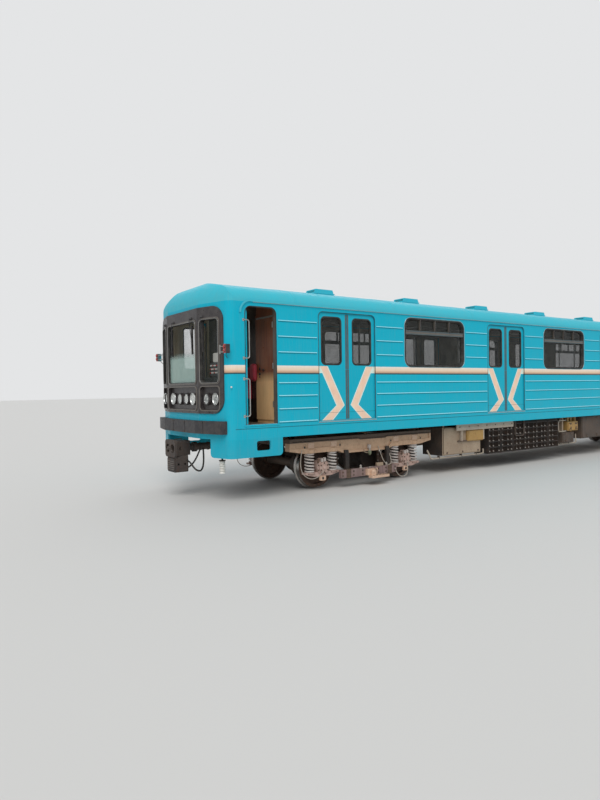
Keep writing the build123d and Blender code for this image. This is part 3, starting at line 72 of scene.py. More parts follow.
# Places shared with the frame, in metres: Z = 0 is the lowest line of the wheel flanges
ORIGIN = (0.0, 0.0, 0.0)
RAIL = 0.028
MID = 0.115
HALF_W = 1.35
LINING_Y = 1.2405
DOOR_PITCH = 4.64
DOOR_XS = tuple(MID + (n - 1.5) * DOOR_PITCH for n in range(4))
DOOR_TOP = 3.208
HALF_DOOR = 0.6625
WINDOW_XS = tuple(MID + n * DOOR_PITCH for n in (-1, 0, 1))
END_WINDOW_X = MID + 8.76
WINDOWS = tuple((x, 1.707) for x in WINDOW_XS) + ((END_WINDOW_X, 0.56),)
WINDOW_Z = 2.738
WINDOW_HEIGHT = 0.92
CAB_DOOR_X = MID - 8.8
BOGIE_XS = {"front": MID - 6.3, "rear": MID + 6.3}
AXLE_Z = RAIL + 0.39
HALF_BASE = 1.05
FACE_X = MID - 9.58
FACET_Y = 0.63
SWEEP = math.radians(15)
MASK_OUT = 0.0245
REAR_X = MID + 9.385
SILL_Z = RAIL + 1.254
FLOOR_Z = RAIL + 1.242
EAVES_Z = RAIL + 3.25
RIB_ZS = tuple(RAIL + h for h in (1.269, 1.488, 1.709, 1.926, 2.444, 2.707, 2.971))
STRIPE_LOW = 2.128
STRIPE_HIGH = 2.25
LEDGE_Z = 1.224


class Side(Enum):
    """The two long sides of the car, as the sign of Y."""

    NEAR = -1
    FAR = 1

    @property
    def word(self) -> str:
        """The side's name as the frame's nodes spell it."""
        return "near" if self is Side.NEAR else "far"


class Axis(Enum):
    """Turning axes, as unit vectors."""

    X = (1.0, 0.0, 0.0)
    Y = (0.0, 1.0, 0.0)
    Z = (0.0, 0.0, 1.0)


def linear(red: float, green: float, blue: float) -> Rgb:
    """Turns a display colour into a linear one.

    Args:
        red: Red from 0 to 255.
        green: Green from 0 to 255.
        blue: Blue from 0 to 255.

    Returns:
        The linear colour.
    """
    return tuple(((c / 255 + 0.055) / 1.055) ** 2.4 if c > 10 else c / 255 / 12.92 for c in (red, green, blue))


CYAN = linear(0, 184, 211)
CREAM = linear(246, 218, 190)
# Pale cream of the painted highlight on top of the wall band.
CREAM_HIGHLIGHT = linear(252, 242, 228)


class Shader:
    """A material's node tree, built up with short calls."""

    def __init__(self, name: str) -> None:
        """Starts an empty tree with its surface shader.

        Args:
            name: The material's name.
        """
        self.material = bpy.data.materials.new(name)
        self.material.use_nodes = True
        self.tree = self.material.node_tree
        self.tree.nodes.clear()
        self.surface = self.tree.nodes.new("ShaderNodeBsdfPrincipled")
        out = self.tree.nodes.new("ShaderNodeOutputMaterial")
        self.tree.links.new(self.surface.outputs[0], out.inputs[0])
        self.place = self.tree.nodes.new("ShaderNodeTexCoord").outputs["Object"]
        split = self.tree.nodes.new("ShaderNodeSeparateXYZ")
        self.tree.links.new(self.place, split.inputs[0])
        self.x, self.y, self.z = split.outputs

    def feed(self, socket: Socket, value: object) -> None:
        """Links an output to a socket, or sets the socket to a number or colour.

        Args:
            socket: The socket.
            value: An output, a number or a colour.
        """
        if isinstance(value, Socket):
            self.tree.links.new(value, socket)
        elif isinstance(value, tuple) and socket.type == "RGBA":
            socket.default_value = (*value, 1.0)
        else:
            socket.default_value = value

    def math(self, operation: str, *values: object) -> Socket:
        """Adds a Math node.

        Args:
            operation: Blender's name of the operation.
            *values: Up to three numbers or outputs.

        Returns:
            The node's output.
        """
        node = self.tree.nodes.new("ShaderNodeMath")
        node.operation = operation
        for socket, value in zip(node.inputs, values):
            self.feed(socket, value)
        return node.outputs[0]

    def noise(self, scale: float, stretch: Point = (1, 1, 1), detail: float = 3.0, roughness: float = 0.55,
              shift: float = 0.0) -> Socket:
        """Adds a noise pattern in the car's own coordinates.

        Args:
            scale: Waves to the metre.
            stretch: Factors along the three axes.
            detail: Octaves.
            roughness: Share of the finer octaves.
            shift: Offset that keeps two patterns apart.

        Returns:
            The pattern, from 0 to 1.
        """
        mapping = self.tree.nodes.new("ShaderNodeMapping")
        mapping.inputs["Scale"].default_value = stretch
        mapping.inputs["Location"].default_value = (shift, shift * 0.7, shift * 0.3)
        self.tree.links.new(self.place, mapping.inputs[0])
        node = self.tree.nodes.new("ShaderNodeTexNoise")
        node.inputs["Scale"].default_value = scale
        node.inputs["Detail"].default_value = detail
        node.inputs["Roughness"].default_value = roughness
        self.tree.links.new(mapping.outputs[0], node.inputs["Vector"])
        return node.outputs["Fac"]

    def span(self, value: object, low: float, high: float, start: float = 0.0,
             end: float = 1.0) -> Socket:
        """Maps a range to another and clamps it.

        Args:
            value: The output to map.
            low: Where the result is start.
            high: Where the result is end.
            start: First result.
            end: Last result.

        Returns:
            The mapped value.
        """
        node = self.tree.nodes.new("ShaderNodeMapRange")
        self.feed(node.inputs["Value"], value)
        for key, number in (("From Min", low), ("From Max", high), ("To Min", start), ("To Max", end)):
            node.inputs[key].default_value = number
        return node.outputs[0]

    def mix(self, share: object, first: object, second: object) -> Socket:
        """Mixes two colours.

        Args:
            share: Share of the second colour.
            first: First colour or output.
            second: Second colour or output.

        Returns:
            The mixed colour.
        """
        node = self.tree.nodes.new("ShaderNodeMix")
        node.data_type = "RGBA"
        self.feed(node.inputs["Factor"], share)
        for name, value in (("A", first), ("B", second)):
            self.feed(next(s for s in node.inputs if s.name == name and s.type == "RGBA"), value)
        return next(s for s in node.outputs if s.type == "RGBA")

    def bump(self, height: object, distance: float, strength: float = 1.0) -> None:
        """Adds relief to the surface, over any relief that it has.

        Args:
            height: The relief, from 0 to 1.
            distance: Its depth in metres.
            strength: Share of it that shows.
        """
        node = self.tree.nodes.new("ShaderNodeBump")
        node.inputs["Distance"].default_value = distance
        node.inputs["Strength"].default_value = strength
        self.feed(node.inputs["Height"], height)
        links = self.surface.inputs["Normal"].links
        if links:
            self.tree.links.new(links[0].from_socket, node.inputs["Normal"])
        self.tree.links.new(node.outputs[0], self.surface.inputs["Normal"])

    def both(self, *masks: object) -> Socket:
        """Multiplies masks."""
        result = masks[0]
        for mask in masks[1:]:
            result = self.math("MULTIPLY", result, mask)
        return result

    def between(self, value: object, low: float, high: float) -> Socket:
        """A mask that is 1 where the value lies between two numbers."""
        return self.both(self.math("GREATER_THAN", value, low), self.math("LESS_THAN", value, high))

    def set(self, **values: object) -> None:
        """Sets the surface's sockets by name, with underscores for spaces."""
        for key, value in values.items():
            self.feed(self.surface.inputs[key.replace("_", " ")], value)


class Livery(Enum):
    """How cream is laid over a paint."""

    PLAIN = "plain"
    STRIPE = "stripe"
    CHEVRON = "chevron"


@dataclass(frozen=True)
class Paint:
    """Enamel on sheet metal, with dust, rain marks and rust specks; on the walls, painted highlights, shade and shadow
    on the cream band, the ribs and the ledge.
    """

    name: str
    color: Rgb
    livery: Livery = Livery.PLAIN
    roughness: float = 0.34
    dust: Rgb = linear(150, 140, 125)
    dust_low: float = 1.0
    dust_high: float = 1.9
    dust_share: float = 0.09
    streaks: float = 0.07
    rust: float = 0.25
    coat: float = 0.06

    def stripe(self, shader: Shader, color: object, height: object) -> Socket:
        """Lays the rounded cream band on the walls with painted light: a pale painted highlight on top, painted shade
        in tan below, and a dark painted shadow line under it.

        Args:
            shader: The material's tree.
            color: The paint under the band.
            height: Height over the ground, with the waver of the band's edge.

        Returns:
            The colour with the band.
        """
        # Painted light on the rounded band: tan painted shade at its foot, cream in the middle, a pale painted
        # highlight on top.
        low = shader.mix(shader.span(height, STRIPE_LOW, STRIPE_LOW + 0.05), linear(192, 148, 118), CREAM)
        band = shader.mix(shader.span(height, STRIPE_LOW + 0.05, STRIPE_HIGH), low, CREAM_HIGHLIGHT)
        behind = shader.math("GREATER_THAN", shader.x, FACE_X + 0.1)
        color = shader.mix(shader.both(shader.between(height, STRIPE_LOW, STRIPE_HIGH), behind), color, band)
        # Painted shadow: a dark line under the band.
        line = shader.both(shader.between(height, STRIPE_LOW - 0.024, STRIPE_LOW), behind, 0.85)
        return shader.mix(line, color, linear(44, 58, 58))

    def chevrons(self, shader: Shader, color: object, height: object, edge: object) -> Socket:
        """Lays the two cream chevrons with their pale edges, and the leaf's lower rail line.

        Args:
            shader: The material's tree.
            color: The paint under them.
            height: Height over the ground, with the waver of the edges.
            edge: That waver by itself.

        Returns:
            The colour with the chevrons.
        """
        offset = shader.math("WRAP", shader.math("SUBTRACT", shader.x, DOOR_XS[0]), DOOR_PITCH / 2, -DOOR_PITCH / 2)
        reach = shader.math("ADD", shader.math("ABSOLUTE", offset), edge)
        knee = shader.math("SUBTRACT", height, 1.548)
        ends = []
        for upper, lower, start in ((0.535, -1.03, 0.07), (0.528, -1.25, 0.262)):
            bend = shader.math("MAXIMUM", shader.math("MULTIPLY", knee, upper), shader.math("MULTIPLY", knee, lower))
            ends.append(shader.math("SUBTRACT", reach, shader.math("ADD", bend, start)))
        past = shader.math("GREATER_THAN", ends[0], 0.0)
        bar = shader.both(past, shader.math("LESS_THAN", ends[1], 0.0), shader.between(height, 1.29, STRIPE_HIGH))
        band = shader.between(height, STRIPE_LOW, STRIPE_HIGH)
        core = shader.both(shader.math("GREATER_THAN", ends[0], 0.02), shader.math("LESS_THAN", ends[1], -0.02))
        peach = shader.mix(shader.span(shader.noise(5, shift=9), 0.3, 0.7), linear(255, 226, 198),
                           linear(250, 208, 184))
        cream = shader.mix(core, linear(232, 246, 234), peach)
        color = shader.mix(shader.math("MAXIMUM", bar, shader.both(band, past)), color, cream)
        return shader.mix(shader.both(shader.between(height, 1.419, 1.426), 0.6), color, linear(0, 84, 98))

    def ribs(self, shader: Shader, color: object) -> Socket:
        """Paints a highlight on the crest and shade at the foot of each pressed rib, and a shadow line under the ledge
        over the skirt.

        Args:
            shader: The material's tree.
            color: The paint under them.

        Returns:
            The colour with light and shade.
        """
        reach = shader.math("ABSOLUTE", shader.y)
        pressed = shader.math("GREATER_THAN", reach, HALF_W + 0.001)
        for height in RIB_ZS:
            # Painted highlight on each rib's crest, and painted shade at its foot.
            crest = shader.both(shader.between(shader.z, height + 0.003, height + 0.022), pressed, 0.85)
            color = shader.mix(crest, color, linear(186, 242, 248))
            foot = shader.both(shader.between(shader.z, height - 0.02, height - 0.005), pressed, 0.7)
            color = shader.mix(foot, color, linear(0, 84, 102))
        # Painted shadow: a dark line under the ledge over the skirt.
        ledge = shader.both(shader.between(shader.z, LEDGE_Z - 0.014, LEDGE_Z),
                            shader.math("GREATER_THAN", reach, HALF_W - 0.002), 0.75)
        return shader.mix(ledge, color, linear(0, 96, 114))

    def build(self) -> Material:
        """Makes the material."""
        shader = Shader(self.name)
        faded = shader.span(shader.noise(0.7, detail=2), 0.35, 0.75, 0.0, 0.3)
        color = shader.mix(faded, self.color, tuple(c * 0.88 + 0.001 for c in self.color))
        edge = shader.math("MULTIPLY", shader.math("SUBTRACT", shader.noise(9, shift=4), 0.5), 0.006)
        height = shader.math("ADD", shader.z, edge)
        if self.livery is Livery.STRIPE:
            color = self.ribs(shader, self.stripe(shader, color, height))
        elif self.livery is Livery.CHEVRON:
            color = self.chevrons(shader, color, height, edge)
        rain = shader.noise(7, stretch=(6, 6, 0.35), detail=4, shift=2)
        rain = shader.both(shader.span(rain, 0.5, 0.72), self.streaks)
        color = shader.mix(rain, color, self.dust)
        low = shader.span(shader.z, self.dust_low, self.dust_high, self.dust_share, 0.04)
        grime = shader.both(shader.span(shader.noise(5, detail=6, shift=3), 0.3, 0.75, 0.35, 1.0), low)
        color = shader.mix(grime, color, self.dust)
        speck = shader.span(shader.noise(38, detail=5, roughness=0.7, shift=6), 0.66, 0.71)
        cluster = shader.span(shader.noise(1.7, detail=2, shift=8), 0.52, 0.68, 0.0, self.rust)
        color = shader.mix(shader.both(speck, cluster), color, linear(112, 66, 38))
        shader.set(Base_Color=color, Coat_Weight=self.coat, Coat_Roughness=0.12, Specular_IOR_Level=0.12)
        dull = shader.span(shader.noise(11, shift=5), 0.3, 0.7, self.roughness - 0.05, self.roughness + 0.12)
        shader.set(Roughness=shader.math("ADD", dull, shader.both(grime, 0.5)))
        shader.bump(shader.noise(1.6, detail=1.5, shift=1), 0.012, 0.3)
        shader.bump(shader.noise(90, detail=2), 0.0004, 0.5)
        return shader.material


@dataclass(frozen=True)
class Cast:
    """Cast or rolled iron under brown brake dust and old paint."""

    name: str
    color: Rgb
    dust: Rgb = linear(120, 98, 80)
    dust_share: float = 0.5
    rust_share: float = 0.2
    roughness: float = 0.62
    metallic: float = 0.0
    grain: float = 60.0
    relief: float = 0.0012
    rust: Rgb = linear(108, 62, 36)
    # Height above which the colour turns near black, a painted shadow of the body's skirt; 0 for none.
    grime_z: float = 0.0

    def build(self) -> Material:
        """Makes the material."""
        shader = Shader(self.name)
        tone = shader.span(shader.noise(self.grain * 0.5, detail=5), 0.25, 0.75, 0.0, 0.5)
        color = shader.mix(tone, self.color, tuple(c * 0.6 for c in self.color))
        color = shader.mix(shader.both(shader.span(shader.noise(2.3, detail=6, shift=2), 0.3, 0.72), self.dust_share),
                           color, self.dust)
        patches = shader.span(shader.noise(14, detail=6, roughness=0.68, shift=7), 0.55, 0.68, 0.0, self.rust_share)
        color = shader.mix(patches, color, self.rust)
        # Painted shadow: near black above the given height, where the skirt shades the top of the beam.
        if self.grime_z > 0:
            edge = shader.span(shader.z, self.grime_z - 0.006, self.grime_z + 0.006, 0.0, 0.85)
            color = shader.mix(edge, color, linear(34, 28, 26))
        dull = shader.span(shader.noise(30, shift=3), 0.3, 0.7, self.roughness - 0.1, self.roughness + 0.16)
        shader.set(Base_Color=color, Metallic=self.metallic, Roughness=dull)
        shader.bump(shader.noise(self.grain, detail=4, roughness=0.65), self.relief, 0.6)
        return shader.material


@dataclass(frozen=True)
class Moulded:
    """Plastic, rubber or leathercloth with a fine grain and a film of dust."""

    name: str
    color: Rgb
    roughness: float = 0.4
    grain: float = 160.0
    relief: float = 0.0003
    dust: Rgb = linear(150, 143, 132)
    dust_share: float = 0.14
    coat: float = 0.0
    sheen: float = 0.0

    def build(self) -> Material:
        """Makes the material."""
        shader = Shader(self.name)
        tone = shader.span(shader.noise(4, detail=5), 0.3, 0.7, 0.0, 0.35)
        color = shader.mix(tone, self.color, tuple(min(1.0, c * 1.35 + 0.008) for c in self.color))
        film = shader.span(shader.noise(9, detail=6, roughness=0.65, shift=2), 0.38, 0.78)
        color = shader.mix(shader.both(film, self.dust_share), color, self.dust)
        dull = shader.span(shader.noise(22, shift=3), 0.3, 0.7, self.roughness - 0.06, self.roughness + 0.12)
        shader.set(Base_Color=color, Coat_Weight=self.coat, Sheen_Weight=self.sheen, Roughness=dull)
        shader.bump(shader.noise(self.grain, detail=3), self.relief, 0.6)
        return shader.material


@dataclass(frozen=True)
class Bright:
    """Drawn or polished metal with fine scratches and finger marks."""

    name: str
    color: Rgb
    roughness: float = 0.26
    stretch: Point = (1, 1, 12)
    tarnish: Rgb = linear(120, 112, 100)
    tarnish_share: float = 0.25

    def build(self) -> Material:
        """Makes the material."""
        shader = Shader(self.name)
        marks = shader.span(shader.noise(6, detail=5, shift=2), 0.4, 0.75, 0.0, self.tarnish_share)
        shader.set(Base_Color=shader.mix(marks, self.color, self.tarnish), Metallic=1.0)
        lines = shader.noise(70, stretch=self.stretch, detail=3)
        shader.set(Roughness=shader.span(lines, 0.3, 0.7, self.roughness - 0.06, self.roughness + 0.12))
        shader.bump(lines, 0.0002, 0.5)
        return shader.material


@dataclass(frozen=True)
class Board:
    """Wood or wood-pattern laminate, its grain along Z."""

    name: str
    color: Rgb
    dark: Rgb
    roughness: float = 0.4
    # Height below which the board turns pale orange: painted light, with the darker top above it as painted shade; 0
    # for none.
    split_z: float = 0.0
    # Y beyond which the board is near black: painted shade.
    edge_y: float = 0.0

    def build(self) -> Material:
        """Makes the material."""
        shader = Shader(self.name)
        grain = shader.noise(16, stretch=(1, 1, 0.09), detail=7, roughness=0.62)
        color = shader.mix(shader.span(grain, 0.3, 0.72), self.color, self.dark)
        # Painted light and shade: pale below the given height, darker above it, and near black beyond the given Y.
        if self.split_z > 0:
            pale = shader.mix(shader.span(grain, 0.3, 0.72), linear(255, 206, 150), linear(240, 182, 128))
            color = shader.mix(shader.span(shader.z, self.split_z - 0.12, self.split_z + 0.06), pale, color)
            color = shader.mix(shader.math("GREATER_THAN", shader.y, self.edge_y), color, linear(40, 29, 24))
        film = shader.both(shader.span(shader.noise(3, detail=5, shift=5), 0.4, 0.8), 0.18)
        shader.set(Base_Color=shader.mix(film, color, linear(150, 135, 115)))
        shader.set(Roughness=shader.span(shader.noise(20), 0.3, 0.7, self.roughness - 0.05, self.roughness + 0.12))
        shader.bump(grain, 0.0005, 0.5)
        return shader.material


@dataclass(frozen=True)
class Pane:
    """Window glass with a film of dust and rain marks, and where asked a pale green painted reflection low in its
    middle.
    """

    name: str
    color: Rgb
    alpha: float = 0.42
    dust_share: float = 0.16
    # Height below which the middle of the pane shows a pale green painted reflection; 0 for none.
    haze_z: float = 0.0

    def build(self) -> Material:
        """Makes the material."""
        shader = Shader(self.name)
        film = shader.span(shader.noise(6, detail=6, roughness=0.65), 0.42, 0.8, 0.0, self.dust_share)
        rain = shader.span(shader.noise(9, (5, 5, 0.4), shift=3), 0.55, 0.75, 0.0, self.dust_share)
        dirt = shader.math("MAXIMUM", film, rain)
        color = shader.mix(dirt, self.color, linear(165, 160, 148))
        alpha = shader.math("ADD", shader.both(dirt, 0.8), self.alpha)
        if self.haze_z > 0:
            # Painted reflection: pale green and more opaque low in the middle of the screens.
            middle = shader.math("LESS_THAN", shader.math("ABSOLUTE", shader.y), 0.6)
            haze_and_reflection = shader.both(shader.span(shader.z, self.haze_z, self.haze_z - 0.12), middle)
            color = shader.mix(haze_and_reflection, color, linear(178, 206, 198))
            alpha = shader.math("ADD", shader.both(haze_and_reflection, 0.42), alpha)
        shader.set(Base_Color=color, Alpha=alpha, IOR=1.5, Roughness=shader.span(dirt, 0.0, 0.2, 0.04, 0.3))
        shader.bump(shader.noise(2, detail=1), 0.002, 0.12)
        shader.material.surface_render_method = "BLENDED"
        return shader.material


@dataclass(frozen=True)
class Lens:
    """Clear moulded glass of a lamp."""

    name: str
    color: Rgb
    alpha: float = 0.35
    flutes: float = 60.0

    def build(self) -> Material:
        """Makes the material."""
        shader = Shader(self.name)
        haze_and_reflection = shader.span(shader.noise(30, detail=4), 0.4, 0.8, 0.0, 0.15)
        shader.set(Base_Color=shader.mix(haze_and_reflection, self.color, linear(190, 184, 170)), IOR=1.5, Roughness=0.06)
        shader.set(Alpha=shader.math("ADD", haze_and_reflection, self.alpha))
        ribs = shader.math("PINGPONG", shader.math("MULTIPLY", shader.y, self.flutes), 1.0)
        shader.bump(ribs, 0.003, 0.6)
        return shader.material


@dataclass(frozen=True)
class Wheel:
    """Rolled wheel steel: bright tread, brown plate, oily hub."""

    name: str

    def build(self) -> Material:
        """Makes the material."""
        shader = Shader(self.name)
        tone = shader.span(shader.noise(12, detail=6, roughness=0.65), 0.3, 0.7)
        color = shader.mix(tone, linear(96, 74, 60), linear(66, 54, 47))
        rust = shader.span(shader.noise(26, detail=5, roughness=0.7, shift=4), 0.56, 0.7, 0.0, 0.7)
        shader.set(Base_Color=shader.mix(rust, color, linear(118, 70, 42)))
        shader.set(Roughness=shader.span(shader.noise(20), 0.3, 0.7, 0.55, 0.8), Metallic=0.2)
        shader.bump(shader.noise(50, detail=4), 0.001, 0.6)
        return shader.material


@dataclass
class Palette:
    """Every finish of the car, made once."""

    def __post_init__(self) -> None:
        """Builds the materials under plain names."""
        # The walls' livery carries painted highlights, shade and shadow on the cream band, the ribs and the ledge.
        self.body = Paint("body_enamel", CYAN, Livery.STRIPE).build()
        self.door = Paint("door_enamel", tuple(c * 0.97 for c in CYAN), Livery.CHEVRON).build()
        self.apron = Paint("apron_enamel", tuple(c * 0.94 for c in CYAN), dust_low=0.6, dust_high=1.3,
                           dust_share=0.16).build()
        self.roof = Paint("roof_enamel", linear(58, 196, 216), roughness=0.4, dust_low=3.0, dust_high=3.7,
                          dust_share=0.2, rust=0.45).build()
        self.rear_door = Paint("rear_door_enamel", CYAN).build()
        self.inside = Paint("saloon_lining", linear(196, 182, 150), dust_share=0.1, streaks=0.05, rust=0.0).build()
        self.ceiling = Paint("ceiling_enamel", linear(214, 210, 198), dust_share=0.05, streaks=0.05, rust=0.0).build()
        self.frame = Cast("underframe_paint", linear(58, 53, 50), dust_share=0.45, rust_share=0.3).build()
        # The bogie frame is near black above 0.888 m: a painted shadow of the skirt.
        self.bogie = Cast("bogie_paint", linear(210, 174, 142), linear(156, 122, 98), 0.45, 0.3, 0.55,
                          grime_z=0.888).build()
        self.box_iron = Cast("axle_box_iron", linear(204, 176, 164), linear(140, 112, 100), 0.45, 0.2).build()
        self.pad = Cast("pad_paint", linear(224, 190, 164), linear(170, 134, 112), 0.35, 0.15, 0.5).build()
        self.spring = Cast("spring_paint", linear(214, 206, 200), linear(136, 116, 104), 0.45, 0.15, 0.5).build()
        self.wheel = Wheel("wheel_steel").build()
        self.tread = Bright("tread_steel", linear(168, 164, 160), 0.24, (1, 12, 1)).build()
        self.axle = Cast("axle_steel", linear(78, 70, 64), dust_share=0.5, rust_share=0.3).build()
        self.motor = Cast("motor_iron", linear(60, 56, 54), dust_share=0.5).build()
        self.brake = Cast("brake_iron", linear(84, 66, 56), dust_share=0.6, rust_share=0.5).build()
        self.coupler = Cast("coupler_iron", linear(56, 53, 53), dust_share=0.32, rust_share=0.3).build()
        self.worn = Bright("worn_steel", linear(140, 134, 128), 0.36).build()
        self.gear = Cast("gear_paint", linear(182, 162, 138), linear(126, 104, 86), 0.5, 0.25, 0.5).build()
        self.pale = Cast("pale_paint", linear(194, 184, 168), linear(146, 122, 106), 0.4, 0.25, 0.5).build()
        self.valve = Cast("valve_paint", linear(120, 140, 112), dust_share=0.5, rust_share=0.2).build()
        self.cable = Moulded("pale_cable", linear(170, 160, 148), 0.5, dust_share=0.35).build()
        self.ochre = Cast("ochre_paint", linear(190, 150, 84), linear(128, 106, 82), 0.4, 0.25, 0.5).build()
        self.dark_gear = Cast("dark_gear_paint", linear(74, 68, 64), dust_share=0.5).build()
        self.resistor = Cast("resistor_frames", linear(32, 30, 30), dust_share=0.2, rust_share=0.25).build()
        self.grid = Cast("resistor_grids", linear(60, 52, 48), dust_share=0.25, rust_share=0.4, metallic=0.4).build()
        self.ceramic = Moulded("insulator_ceramic", linear(158, 150, 142), 0.35, dust_share=0.3).build()
        self.timber = Board("shoe_timber", linear(156, 132, 128), linear(106, 86, 84), 0.6).build()
        # The laminate is pale below 2.1 m as painted light, darker above as painted shade, and near black beyond Y
        # −0.625 as painted shade.
        self.laminate = Board("cab_laminate", linear(146, 84, 52), linear(98, 54, 34), 0.32, 2.1, -0.625).build()
        self.mask = Moulded("mask_shell", linear(50, 45, 46), 0.32, 60, 0.0006, dust_share=0.14, coat=0.15).build()
        self.rim = Moulded("mask_rims", linear(96, 90, 84), 0.34, 70, 0.0005, dust_share=0.25, coat=0.15).build()
        self.strip = Moulded("strip_moulding", linear(44, 43, 47), 0.5, 90, 0.0006, dust_share=0.18).build()
        self.rubber = Moulded("window_rubber", linear(30, 29, 29), 0.62, 120, dust_share=0.22).build()
        self.seal = Moulded("door_seal", linear(72, 92, 98), 0.66, dust_share=0.18).build()
        self.desk = Moulded("desk_shell", linear(74, 76, 78), 0.55, 220, 0.0005).build()
        self.knob = Moulded("control_knobs", linear(28, 28, 29), 0.35).build()
        self.red = Moulded("red_lens", linear(190, 34, 26), 0.12, coat=0.6).build()
        self.cap = Moulded("white_cap", linear(226, 224, 216), 0.35).build()
        self.seat = Moulded("seat_cloth", linear(158, 34, 52), 0.5, 240, 0.0006, dust_share=0.06, sheen=0.1).build()
        self.bench = Moulded("bench_cloth", linear(104, 62, 42), 0.46, 200, 0.0006, sheen=0.1).build()
        self.floor = Moulded("floor_lino", linear(92, 80, 68), 0.6, 120, dust_share=0.3).build()
        self.pole = Bright("pole_tube", linear(206, 206, 202), 0.22).build()
        self.rail = Bright("rail_tube", linear(200, 200, 196), 0.34, tarnish_share=0.4).build()
        self.trim = Bright("window_bead", linear(212, 214, 212), 0.32, (8, 8, 1)).build()
        self.reflector = Bright("lamp_bowl", linear(236, 236, 232), 0.1, tarnish_share=0.1).build()
        self.glass = Pane("window_glass", linear(34, 40, 40), 0.34).build()
        # The screens carry a pale green painted reflection below 2.52 m in their middle.
        self.screen = Pane("screen_glass", linear(60, 72, 68), 0.1, 0.1, 2.52).build()
        self.lens = Lens("lamp_glass", linear(225, 230, 228)).build()
        self.hose = Moulded("hose_rubber", linear(36, 34, 33), 0.6, dust_share=0.35).build()
        self.bolt = Cast("bolt_steel", linear(92, 80, 70), dust_share=0.3, rust_share=0.5, grain=120).build()


